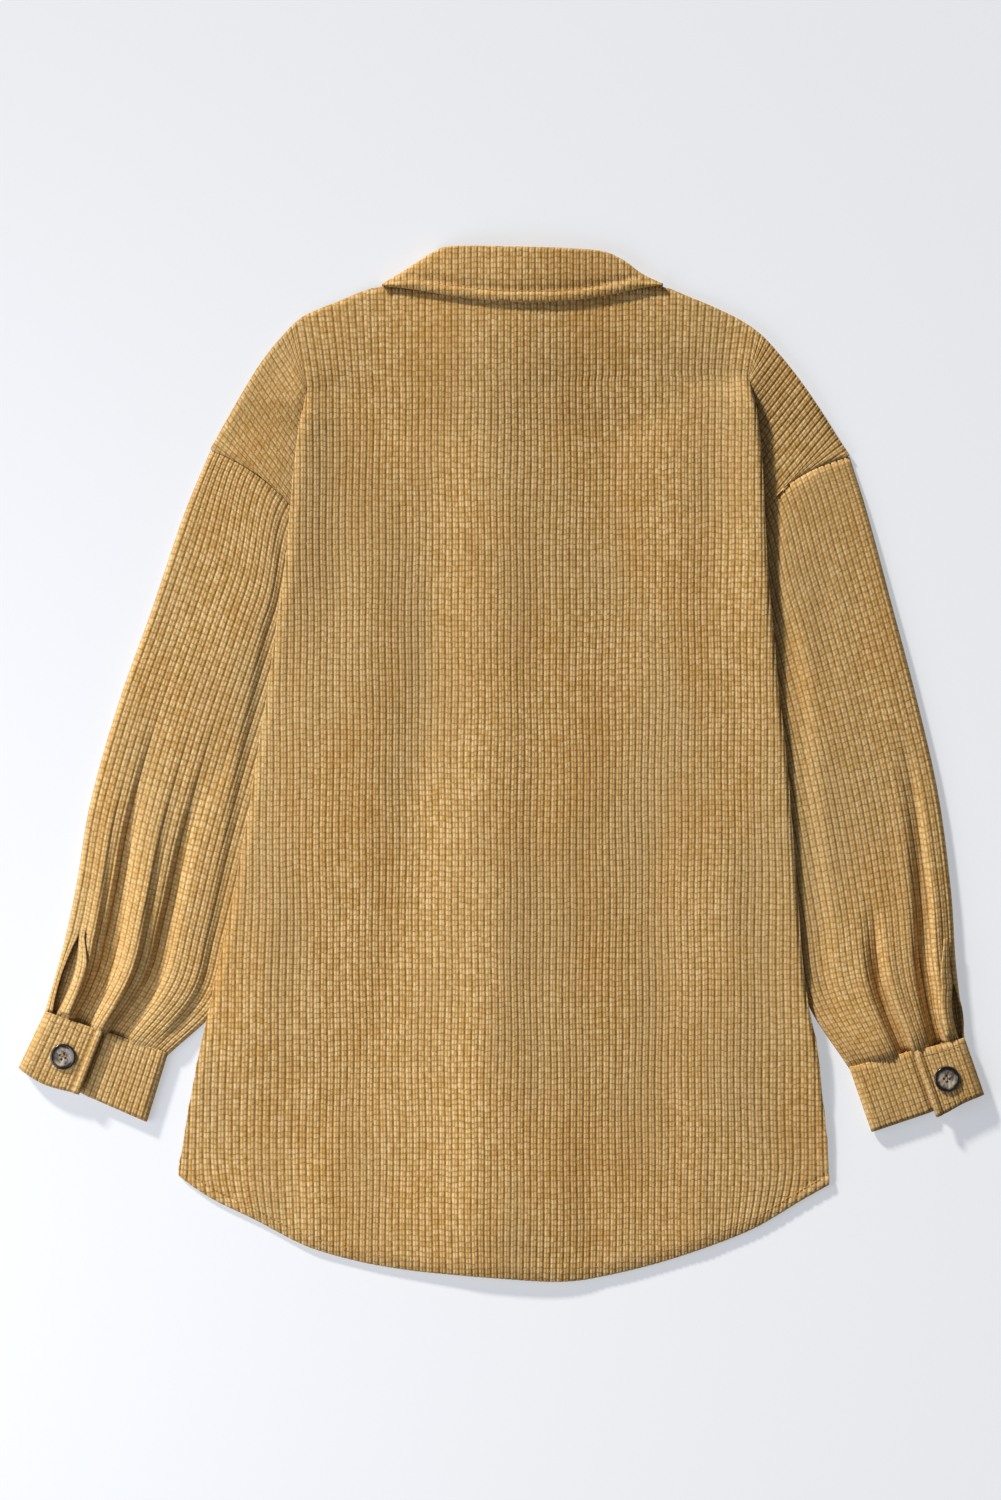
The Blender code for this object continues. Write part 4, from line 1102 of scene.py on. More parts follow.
@dataclass
class Front:
    """A front: flat on the floor with its ribs down, lifted along the opening and over the collar's leaf."""

    plan: BodyPlan
    side: Side
    sleeve_top: SleeveRow
    seam_end: float
    lap_half: float = 18.0
    inset: float = 6.0
    seam_inset: float = 1.6
    rib_part: float = 0.45
    lower: Span = Span(-340.0, 230.0)
    upper: Span = Span(240.0, 375.5)
    hem_fade: float = 140.0
    neck_rows: tuple[float, ...] = (338.0, 350.0, 376.0)
    neck_cross: float = 40.0
    lap_step: Span = Span(-75.0, -24.0)
    wales: int = 46
    rows: int = 40
    upper_rows: int = 22
    cut: Cut = Cut(0.30, 0.74, 0.165, ("floor",))
    creases: tuple[Crease, ...] = (
        Crease(-66, 190, -78, -180, rise=0.5, half_width=15),
        Crease(-128, 120, -152, -270, rise=0.4, half_width=13),
        Crease(-98, -110, -120, -330, rise=0.5, half_width=11),
        Crease(78, 150, 92, -230, rise=0.45, half_width=16),
        Crease(148, 200, 158, -40, rise=0.5, half_width=12),
        Crease(178, -60, 200, -310, rise=0.4, half_width=13),
    )

    def outer_edge(self, y: np.ndarray) -> np.ndarray:
        """X of the outer edge at a height: side, armhole seam, then shoulder."""
        inward = self.side.inward
        seam_x, seam_y = self.sleeve_top.line(np.linspace(self.seam_end, 0, 40))
        corner = self.plan.side_edge(self.side, seam_y[0]) + self.inset * inward
        seam_x = seam_x + self.seam_inset * inward
        low = inward * (seam_x - corner) < 0
        outline = self.plan.outline(self.side)[::-1]
        heights = np.concatenate([[seam_y[0] - 2], seam_y[low], column(outline, "y")[1:]])
        edges = np.concatenate([[corner], seam_x[low], column(outline, "x")[1:]])
        side = self.plan.side_edge(self.side, y) + self.inset * inward
        return np.where(y < heights[0], side, np.interp(y, heights, edges))

    def build(self, cloth: bpy.types.Material) -> bpy.types.Object:
        """Make the front: rows up its length, wales from its lap to its outer edge."""
        plan, inward = self.plan, self.side.inward
        wale = wale_stops(0, self.wales)
        part = (wale / self.wales)[:, None]
        rows = [np.linspace(*self.lower, self.rows), np.linspace(*self.upper, self.upper_rows)]
        rows = np.concatenate(rows)[None]
        lap = plan.opening_x + self.lap_half * inward
        shoulder_x = plan.outline(self.side)[0].x
        crossing = plan.opening_x - self.neck_cross * inward
        start = np.interp(rows, self.neck_rows, [lap, crossing, shoulder_x])
        x = start + (self.outer_edge(rows) - start) * part
        down = np.clip((self.hem_fade - rows) / (self.hem_fade - self.lower.low), 0, 1)
        y = rows + (plan.front_edge(x) - self.lower.low) * down
        z = plan.channel(x, y) + crease_rise(self.creases, x, y) + self.rib_part * (RIB - rib(wale)[:, None])
        if self.side is Side.LEFT:
            z = z + (WALL + LAY_GAP) * smooth(*self.lap_step, x - plan.opening_x)
        shell = ClothShell(f"front_{self.side.value}_cloth")
        shell.add(np.stack([x, y, z], axis=-1), wale[:, None], y, flip=self.side is Side.RIGHT)
        return settle(shell.build(cloth), [f"front_{self.side.value}"])


@dataclass
class Sleeve:
    """A sleeve: a flattened tube, ribbed and pleated above, plain below, slit beside its cuff's tab."""

    side: Side
    rows: tuple[SleeveRow, ...]
    folds: tuple[FoldRow, ...]
    creases: tuple[Crease, ...]
    slit: float
    slit_start: float
    gather: float
    tuck_top: float
    tuck_reach: float
    wales: int = 26
    stations: int = 64
    edge_radius: float = 4.0
    crown: float = 2.0
    tuck_floor: float = 2.0
    step_start: float = 26.0
    step_length: float = 20.0
    least_top: float = 2.8
    seam_dip: float = 0.6
    cuff_dip: float = 2.3
    slit_open: float = 0.036
    slit_reach: float = 0.25
    pleat_full: float = 0.96
    pleat_ease: float = 0.25
    cut: Cut = Cut(0.27, 0.50, 0.132, ("floor",))

    def __post_init__(self) -> None:
        """Move the slit into the nearest groove."""
        self.slit = round(self.slit * self.wales) / self.wales

    def field(self, v: np.ndarray) -> SleeveRow:
        """The section's sizes at parts v of the length, as columns of arrays."""
        knots = np.linspace(0, 1, len(self.rows))
        return SleeveRow(*(through(knots, column(self.rows, name), v) for name in SleeveRow._fields))

    def width_at(self, row: SleeveRow) -> np.ndarray:
        """Width of the sections along their bowed lines."""
        x, y = row.line(np.linspace(0, 1, 30)[None])
        return np.sum(np.hypot(np.diff(x, axis=1), np.diff(y, axis=1)), axis=1, keepdims=True)

    def pleats(self, s: np.ndarray, v: np.ndarray, width: np.ndarray) -> np.ndarray:
        """Rise of the upper side from its pleats: bells across, growing toward the cuff and easing at it."""
        total = np.zeros(np.broadcast(s, v).shape)
        for fold in self.folds:
            eased = 1 - self.pleat_ease * smooth(self.pleat_full, 1.0, v)
            grown = smooth(fold.fade, self.pleat_full, v) * eased
            along = np.clip((v - fold.fade) / (1 - fold.fade), 0, 1)
            aside = (s - fold.at_fade - (fold.at_cuff - fold.at_fade) * along) * width
            half = np.where(aside < 0, fold.half_out, fold.half_in)
            total = total + fold.rise * grown * np.exp(-(aside / half) ** 2)
        return total

    def heights(self, row: SleeveRow, s: np.ndarray, v: np.ndarray) -> tuple[np.ndarray, np.ndarray]:
        """Lower and upper outer face across the sections.

        The upper face carries the pleats and sinks where the sleeve lies under the body;
        the lower one lies on the floor and steps up onto the front there. Both edges are round.
        """
        width = self.width_at(row)
        edge = 1 - row.tuck / width
        held = smooth(1, 5, row.tuck)
        tucked = smooth(0, 1, ((s - edge) * width + self.tuck_reach) / (0.6 * self.tuck_reach)) * held
        under = smooth(0, 1, ((s - edge) * width + self.step_start) / self.step_length) * held
        x, y = row.line(s)
        creased = crease_rise(self.creases, x, y)
        top = row.top + self.pleats(s, v, width) + creased
        top = np.maximum(top + self.crown * (np.sin(np.pi * s) - 0.5), self.least_top)
        top = top - self.seam_dip * (1 - smooth(0.0, 0.02, v)) - self.cuff_dip * smooth(0.975, 1.0, v)
        top = top + (self.tuck_top - top) * tucked
        low = self.tuck_floor * under + 0.6 * np.abs(creased)
        reach = np.minimum(s, 1 - s) * width
        away = np.clip((self.edge_radius - reach) / self.edge_radius, 0, 1)
        swell = np.sqrt(1 - away ** 2)
        middle = (low + np.minimum(top, 2 * self.edge_radius + low)) / 2
        return middle - (middle - low) * swell, middle + (top - middle) * swell

    def opened(self, s: np.ndarray, v: np.ndarray, away: np.ndarray) -> np.ndarray:
        """Places across moved apart at the slit toward the cuff, away -1 before it and 1 after."""
        part = np.clip((v - self.slit_start) / (1 - self.slit_start), 0, 1)
        wide = self.slit_open * np.sin(np.pi * 0.9 * part)
        reach = np.where(away < 0, self.slit, self.slit_reach)
        return s + away * wide * np.clip(1 - np.abs(s - self.slit) / reach, 0, 1)

    def upper_face(self, s: np.ndarray, v: np.ndarray) -> np.ndarray:
        """Points of the upper face between its ribs, for arrays of places across and along."""
        row = self.field(v)
        x, y = row.line(s)
        return np.stack([x, y, self.heights(row, s, v)[1]], axis=-1)

    def lower_stops(self, row: SleeveRow) -> np.ndarray:
        """Places across the lower face, close where it steps up onto the front."""
        width = self.width_at(row)
        edge = np.minimum(1 - row.tuck / width, 0.93)
        foot = edge - 27 / width
        stops = [0.992, 0.975, edge + 0.5 * (0.975 - edge), edge, edge - 6 / width, edge - 15 / width, foot,
                 0.66 * foot, 0.33 * foot, 0.03, 0.008]
        stops = np.concatenate([np.broadcast_to(stop, width.shape) for stop in stops], axis=1)
        fine = np.linspace(0, stops.shape[1] - 1, 2 * stops.shape[1] - 1)
        low = np.floor(fine).astype(int)
        high = np.minimum(low + 1, stops.shape[1] - 1)
        return stops[:, low] + (stops[:, high] - stops[:, low]) * (fine - low)

    def build(self, cloth: bpy.types.Material) -> bpy.types.Object:
        """Make the sleeve as one ring of wales that starts and ends at its slit."""
        v = np.linspace(0, 1, self.stations)[:, None]
        row = self.field(v)
        wale = wale_stops(0, self.wales)
        slit = int(np.argmin(np.abs(wale - self.slit * self.wales)))
        after, before = wale[slit:], wale[:slit + 1]
        faces = []
        counts = []
        for run, away in ((after, 1.0), (None, 0.0), (before, -1.0)):
            if run is None:
                s = self.lower_stops(row)
                height = self.heights(row, s, v)[0]
                count = self.wales + (1 - s) * self.wales
            else:
                s = run[None] / self.wales
                s = s - self.gather * np.sin(np.pi * s) * (1 - smooth(0.0, 0.2, v))
                s = self.opened(s, v, np.full_like(run[None], away))
                crest = smooth(0.0, 0.03, np.minimum(run, self.wales - run) / self.wales)
                height = self.heights(row, s, v)[1] + (rib(run) * crest)[None]
                count = np.broadcast_to(run[None], s.shape)
            x, y = row.line(s)
            faces.append(np.stack([x, y, height], axis=-1))
            counts.append(count)
        points = np.swapaxes(np.concatenate(faces, axis=1), 0, 1)
        counts = np.concatenate(counts, axis=1).T
        first, last = self.rows[0], self.rows[-1]
        length = np.hypot(last.outer_x - first.outer_x, last.outer_y - first.outer_y)
        shell = ClothShell(f"sleeve_{self.side.value}_cloth")
        shell.add(points, counts, -length * v.T, flip=self.side is Side.LEFT)
        return settle(shell.build(cloth), [f"sleeve_{self.side.value}"])


@dataclass
class SlitBinding:
    """The strip bound along a sleeve's slit: a narrow folded band with two wales, lying on the sleeve."""

    sleeve: Sleeve
    width: float = 9.5
    length: float = 75.0
    wall: float = 1.0
    crown: float = 0.9
    clear: float = 0.7
    start: float = 0.80
    end: float = 0.985
    taper: float = 0.45
    taper_reach: float = 0.08
    rows: int = 28
    cut: Cut = Cut(0.0105, 0.078, 0.0008, ())

    def line(self, aside: float) -> np.ndarray:
        """A line along the strip at a distance from the slit, just above the sleeve's ribs."""
        sleeve = self.sleeve
        v = np.linspace(self.start, self.end, self.rows)[:, None]
        row = sleeve.field(v)
        start = sleeve.opened(np.full_like(v, sleeve.slit + 0.006), v, np.ones_like(v))
        taper = self.taper + (1 - self.taper) * smooth(self.start, self.start + self.taper_reach, v)
        s = start + aside * taper / sleeve.width_at(row)
        points = sleeve.upper_face(s, v)[:, 0]
        points[:, 2] += RIB + self.clear
        return points

    def build(self, cloth: bpy.types.Material) -> bpy.types.Object:
        """Make the strip as a grid of lines, crowned, with its edges turned down."""
        wale = wale_stops(0, 2)
        side = self.sleeve.side
        lines = np.stack([self.line(self.width * float(count) / 2) for count in wale])
        crown = self.crown * np.sqrt(np.clip(np.sin(np.pi * wale / 2), 0, 1)) + 0.5 * rib(wale)
        lines[..., 2] += crown[:, None] + CLOTH * 0.5
        along = np.linspace(0, self.length, self.rows)[None]
        shell = ClothShell(f"slit_binding_{side.value}_cloth")
        shell.add(lines, wale[:, None], along, flip=side is Side.LEFT)
        cut = replace(self.cut, rests_on=(f"sleeve_{side.value}",))
        return settle(shell.build(cloth, self.wall), [f"slit_binding_{side.value}"])


@dataclass
class Cuff:
    """A cuff: one ribbed band closed flat on itself, its tab lying over its other end."""

    side: Side
    outer_seam: Point
    inner_seam: Point
    outer_edge: Point
    inner_edge: Point
    tab: float
    lap: float = 0.16
    length: float = 52.0
    wall: float = 1.6
    top: float = 8.0
    tab_clear: float = 4.8
    wale_count: int = 20
    rows: int = 16
    seam_over: float = 0.05
    pillow: float = 0.9
    border: float = 6.0
    border_rise: float = 1.7
    groove_aside: float = 0.6
    stitch_inset: float = 0.07
    slot_depth: float = 2.4
    slot_half: float = 2.4
    sag: float = 4.5
    sag_at: float = 0.22
    sag_half: float = 0.2
    cut: Cut = Cut(0.24, 0.052, 0.0122, ("floor",))

    def point(self, u: np.ndarray, v: np.ndarray) -> tuple[np.ndarray, np.ndarray]:
        """Points seen from above, ruled between four corners: u from the outer end, v from the seam."""
        corners = (self.outer_seam, self.inner_seam, self.outer_edge, self.inner_edge)
        weights = ((1 - u) * (1 - v), u * (1 - v), (1 - u) * v, u * v)
        x = sum(corner.x * weight for corner, weight in zip(corners, weights))
        y = sum(corner.y * weight for corner, weight in zip(corners, weights))
        return x, y

    @property
    def width(self) -> float:
        """Width of the flattened band at its seam."""
        return float(np.hypot(self.inner_seam.x - self.outer_seam.x, self.inner_seam.y - self.outer_seam.y))

    def path(self) -> tuple[np.ndarray, ...]:
        """The band's way round from its tab's end.

        Over the tab, round a half circle at the outer end, below, round the inner end and
        back above to the end under the tab.

        Returns:
            Place across, height, wale count, how far the ribs stand up there, and how much each
            point is of the tab and of the end under it.
        """
        width, high = self.width, self.top + self.tab_clear
        outer, inner = high / 2, self.top / 2
        pitch = width / self.wale_count
        over = wale_stops(0, round((self.tab * width - outer) / pitch))
        over_place = self.tab * width + (outer - self.tab * width) * over / over[-1]
        bend = np.linspace(0, np.pi, 13)[1:-1]
        below = np.linspace(outer, width - inner, 24)
        back = wale_stops(0, round((1 + self.lap - self.tab) * width / pitch))
        back_place = width - inner + ((self.tab - self.lap) * width - width + inner) * back / back[-1]
        place = np.concatenate([
            over_place, outer - outer * np.sin(bend), below, width - inner + inner * np.sin(bend), back_place,
        ])
        height = np.concatenate([
            np.full(len(over), high), outer + outer * np.cos(bend), np.zeros(len(below)),
            inner - inner * np.cos(bend), np.full(len(back), self.top),
        ])

        # Wale counts rise all the way round
        count = np.concatenate([
            over, over[-1] + bend, over[-1] + 4 + (below - outer) / pitch, over[-1] + 24 + bend, 40 + back,
        ])
        ribbed = np.concatenate([
            rib(over), np.zeros(len(bend) * 2 + len(below)), rib(back),
        ])
        tab = np.concatenate([
            np.ones(len(over)), np.cos(bend / 2) ** 2, np.zeros(len(below) + len(bend) + len(back)),
        ])
        end = np.concatenate([np.zeros(len(place) - len(back)), np.ones(len(back))])
        return place, height, count, ribbed, tab, end

    def tab_rise(self, u: np.ndarray, v: np.ndarray) -> np.ndarray:
        """Rise of the tab's face from its rolled border and the groove beside that."""
        inside = (self.tab - u) * self.width
        roll = np.sqrt(np.clip(1 - (2 * inside / self.border - 1) ** 2, 0.0, 1.0))
        groove = np.exp(-((inside - self.border - self.groove_aside) / 0.9) ** 2)
        return self.border_rise * (roll - 0.7 * groove) + self.pillowed(v)

    def pillowed(self, v: np.ndarray) -> np.ndarray:
        """Rise of the upper face between the cuff's seam and edge."""
        part = (v + self.seam_over) / (1 + self.seam_over)
        return self.pillow * (np.sqrt(np.clip(np.sin(np.pi * part), 0, 1)) - 0.8)

    def build(self, cloth: bpy.types.Material) -> bpy.types.Object:
        """Make the cuff: the band's way round, carried from its seam to its edge."""
        place, height, count, ribbed, tab, end = (values[:, None] for values in self.path())
        v = np.linspace(-self.seam_over, 1.0, self.rows)[None]
        u = place / self.width
        x, y = self.point(u, v)
        drop = self.sag * tab * smooth(-0.1, 1.0, v) * np.exp(-((u - self.sag_at) / self.sag_half) ** 2)
        down = np.array([self.outer_edge.x - self.outer_seam.x, self.outer_edge.y - self.outer_seam.y])
        down = down / np.hypot(*down)
        x, y = x + down[0] * drop, y + down[1] * drop
        slot = self.slot_depth * np.exp(-((u - self.tab) * self.width / self.slot_half) ** 2)
        z = height + ribbed + tab * self.tab_rise(u, v) + end * (self.pillowed(v) - slot)
        shell = ClothShell(f"cuff_{self.side.value}_cloth")
        shell.add(np.stack([x, y, z], axis=-1), count, -v * self.length, flip=self.side is Side.RIGHT)
        return settle(shell.build(cloth, self.wall), [f"cuff_{self.side.value}"])

    def stitch_lines(self) -> list[np.ndarray]:
        """Stitch lines on the tab: along its seam, in the groove beside its border and along its edge."""
        high = self.top + self.tab_clear + RIB * 0.75 + 0.1
        start, end = self.stitch_inset, self.tab - (self.border + self.groove_aside) / self.width
        across, down = np.linspace(start, end, 40), np.linspace(start, 1 - start, 40)
        ways = ((across, np.full(40, start)), (np.full(40, end), down), (across, np.full(40, 1 - start)))
        lines = []
        for u, v in ways:
            x, y = self.point(u, v)
            lines.append(np.stack([x, y, high + self.tab_rise(u, v)], axis=-1))
        return lines


@dataclass
class Collar:
    """The collar: a folded band whose leaf lies on the back and whose ends turn under the fronts."""

    plan: BodyPlan
    left: float = -94.0
    right: float = 128.0
    wales: int = 44
    wall: float = 1.4
    leg_rows: int = 12
    roll_rise: float = 1.7
    hollow_depth: float = 1.1
    seam_gap: float = 0.4
    leaf_clear: float = 1.3
    border: float = 8.0
    turn_left: float = -50.0
    turn_right: float = 90.0
    opening_half: float = 2.0
    point_top: float = 346.0
    pitch: float = 5.1
    stitch_span: Span = Span(-70.0, 106.0)
    cut: Cut = Cut(0.46, 0.09, 0.026, ("back", "floor"))
    top_line: tuple[Point, ...] = (
        Point(-94, 379.6), Point(-79, 388.6), Point(-66, 397), Point(-55, 404), Point(-46, 407.8),
        Point(-24, 408.8), Point(5, 408.2), Point(30, 407.8), Point(56, 407), Point(82, 404.6),
        Point(97, 398.5), Point(111, 388.2), Point(128, 379.8),
    )
    edge_line: tuple[Point, ...] = (
        Point(-94, 377.4), Point(-70, 374.4), Point(-45, 370), Point(-12, 365.4), Point(21, 363.8),
        Point(55, 365.4), Point(88, 370.6), Point(113, 376), Point(128, 378),
    )

    def top(self, x: np.ndarray) -> np.ndarray:
        """Height in plan of the collar's fold."""
        return through(column(self.top_line, "x"), column(self.top_line, "y"), x)

    def edge(self, x: np.ndarray) -> np.ndarray:
        """Height in plan of the leaf's lower edge."""
        return through(column(self.edge_line, "x"), column(self.edge_line, "y"), x)

    def leaf_point(self, x: np.ndarray) -> np.ndarray:
        """Height in plan of the front leaf's lower edge, down to its point and up to the opening."""
        middle, half = self.plan.opening_x, self.opening_half
        left = np.interp(x, [-92, -62, middle - half], [377, 302, 338])
        right = np.interp(x, [middle + half, 84, 127], [338, 302, 377])
        return np.where(x < self.plan.opening_x, left, right)

    def leaf_height(self, x: np.ndarray) -> np.ndarray:
        """Height of the leaf's outer face over the back's ribs."""
        under = self.plan.flap_under(x, self.plan.neck(x), np.ones(1))
        return under + WALL + RIB + self.leaf_clear + self.wall

    def way(self, x: np.ndarray, turned: bool) -> tuple[np.ndarray, np.ndarray]:
        """Points down one wale: a leg below, the round fold, then the leaf to its edge.

        Args:
            x: Place of each wale.
            turned: Whether the leg is the leaf that turns under a front, not the stand.

        Returns:
            Height in plan and height, by wale and by nine points along the way.
        """
        top, edge = self.top(x), self.edge(x)
        upper = self.leaf_height(x)
        lower = np.zeros_like(x) if turned else self.plan.flap_under(x, self.plan.neck(x), np.ones(1))
        start = self.leaf_point(x) if turned else self.plan.neck(x) + self.seam_gap
        bend = np.minimum(4.0, 0.3 * (top - edge) + 0.8)
        gap = upper - lower
        plan = [
            start, (start + top - bend) / 2, top - bend, top - 0.3 * bend, top,
            top - 0.3 * bend, top - bend, (edge + top - bend) / 2, edge,
        ]
        level = [
            lower, lower, lower, lower + 0.12 * gap, lower + 0.45 * gap,
            upper - 0.25 * gap, upper - 0.6, upper + 0.8, upper,
        ]
        return np.stack(plan, axis=-1), np.stack(level, axis=-1)

    def strip(self, wale: np.ndarray, at: np.ndarray, turned: bool) -> np.ndarray:
        """Points at some stops of the way for some wales.

        The leaf is ribbed, and its border is a half-round roll with a hollow above it.
        """
        x = self.left + wale / self.wales * (self.right - self.left)
        plan, level = self.way(x, turned)
        knots = np.arange(9)
        y, z = through(knots, plan, at), through(knots, level, at)
        ribbed = rib(wale)[:, None] * smooth(4.2, 5.4, at)[None]
        above = y - self.edge(x)[:, None]
        leaf = smooth(5.9, 6.6, at)[None]
        border = np.minimum(self.border, 0.4 * (self.top(x) - self.edge(x)))[:, None]
        roll = np.sqrt(np.clip(1 - (2 * above / border - 1) ** 2, 0.0, 1.0))
        hollow = np.exp(-((above - border - 2.0) / 3.0) ** 2) * smooth(0, 1.5, above)
        raised = leaf * border / self.border * (self.roll_rise * roll - self.hollow_depth * hollow)
        return np.stack([np.broadcast_to(x[:, None], y.shape), y, z + ribbed + raised], axis=-1)

    def build(self, cloth: bpy.types.Material) -> bpy.types.Object:
        """Make the collar: the leaf and fold, the stand, and the two leaves turned under."""
        wale = wale_stops(0, self.wales)
        x = self.left + wale / self.wales * (self.right - self.left)
        shell = ClothShell("collar_cloth")
        spans = ((4, 6.2, 12), (6.35, 7.45, 10), (7.5, 8, 18))
        stops = np.concatenate([np.linspace(*span) for span in spans])
        leaf = self.strip(wale, stops, False)
        stand = (x > self.turn_left) & (x < self.turn_right)
        lead = self.strip(wale, stops, True)
        leaf[~stand] = lead[~stand]
        shell.add(leaf, wale[:, None], -leaf[..., 1], flip=True)
        runs = (
            (stand, False), (x <= self.turn_left, True), (x >= self.turn_right, True),
        )
        for chosen, turned in runs:
            leg = self.strip(wale[chosen], np.linspace(0, 4, self.leg_rows), turned)
            shell.add(leg, wale[chosen][:, None], leg[..., 1], flip=True)
            if turned:
                self.add_point(shell, leg, wale[chosen])
        return settle(shell.build(cloth, self.wall), ["collar"])

    def add_point(self, shell: ClothShell, leg: np.ndarray, wale: np.ndarray) -> None:
        """Add the flat part of a front leaf from a turned leg to the opening, sharing the leg's flat rows."""
        left = leg[0, 0, 0] < self.plan.opening_x
        shared = leg[-1] if left else leg[0]
        flat = int(np.sum(shared[:, 2] < 0.02))
        end = self.plan.opening_x + (-self.opening_half if left else self.opening_half)
        start_x = shared[0, 0]
        steps = np.linspace(0, 1, 16)[:, None]
        x = start_x + (end - start_x) * steps
        low = self.leaf_point(x)
        high = shared[flat - 1, 1] + (self.point_top - shared[flat - 1, 1]) * steps
        part = (shared[:flat, 1] - shared[0, 1]) / (shared[flat - 1, 1] - shared[0, 1])
        y = low + (high - low) * part[None]
        y[0] = shared[:flat, 1]
        points = np.stack([np.broadcast_to(x, y.shape), y, np.zeros_like(y)], axis=-1)
        points[0] = shared[:flat]
        count = (wale[-1] if left else wale[0]) + (x - start_x) / self.pitch
        shell.add(points, count, y, flip=left)

    def stitch_line(self) -> np.ndarray:
        """The line of stitches above the leaf's edge."""
        x = np.linspace(*self.stitch_span, 240)
        y = self.edge(x) + self.border + 0.6
        return np.stack([x, y, self.leaf_height(x) - 0.3 + 0.6 * RIB], axis=-1)


@dataclass
class StitchRows:
    """Rows of small sewn stitches: six-sided rods with tapered ends."""

    name: str
    pitch: float = 3.4
    length: float = 2.5
    radius: float = 0.3
    sides: int = 6

    def build(self, lines: Sequence[np.ndarray], thread: bpy.types.Material) -> bpy.types.Object:
        """Make every stitch of the given lines as one piece.

        Args:
            lines: Points along each line, in millimetres.
            thread: The thread's material.

        Returns:
            The piece.
        """
        centres = []
        aheads = []
        for line in lines:
            run = np.concatenate([[0], np.cumsum(np.linalg.norm(np.diff(line, axis=0), axis=1))])
            at = np.arange(self.pitch / 2, run[-1], self.pitch)
            ends = [np.stack([np.interp(at + step, run, line[:, axis]) for axis in range(3)], axis=1)
                    for step in (-self.length / 2, self.length / 2)]
            centres.append((ends[0] + ends[1]) / 2)
            aheads.append((ends[1] - ends[0]) / np.linalg.norm(ends[1] - ends[0], axis=1, keepdims=True))
        centre, ahead = np.concatenate(centres), np.concatenate(aheads)
        aside = np.cross(ahead, [0.0, 0.0, 1.0])
        aside /= np.linalg.norm(aside, axis=1, keepdims=True)
        up = np.cross(aside, ahead)
        stops = np.array([-0.5, -0.32, 0.32, 0.5]) * self.length
        girth = np.array([0.4, 1.0, 1.0, 0.4]) * self.radius
        sink = np.array([-0.35, 0.0, 0.0, -0.35])
        turn = np.linspace(0, 2 * np.pi, self.sides, endpoint=False)
        ring = aside[:, None, :] * np.cos(turn)[None, :, None] + up[:, None, :] * np.sin(turn)[None, :, None]
        points = centre[:, None, None] + ahead[:, None, None] * stops[None, :, None, None]
        points = points + ring[:, None] * girth[None, :, None, None]
        points = points + up[:, None, None] * sink[None, :, None, None]
        count = len(centre)
        index = np.arange(count * 4 * self.sides).reshape(count, 4, self.sides)
        ahead_ring = np.roll(index, -1, axis=2)
        corners = [index[:, 1:], ahead_ring[:, 1:], ahead_ring[:, :-1], index[:, :-1]]
        quads = np.stack(corners, axis=-1).reshape(-1, 4)
        caps = index[:, 0].tolist() + index[:, -1, ::-1].tolist()
        return settle(make_piece(self.name, points.reshape(-1, 3), quads.tolist() + caps, thread), [])


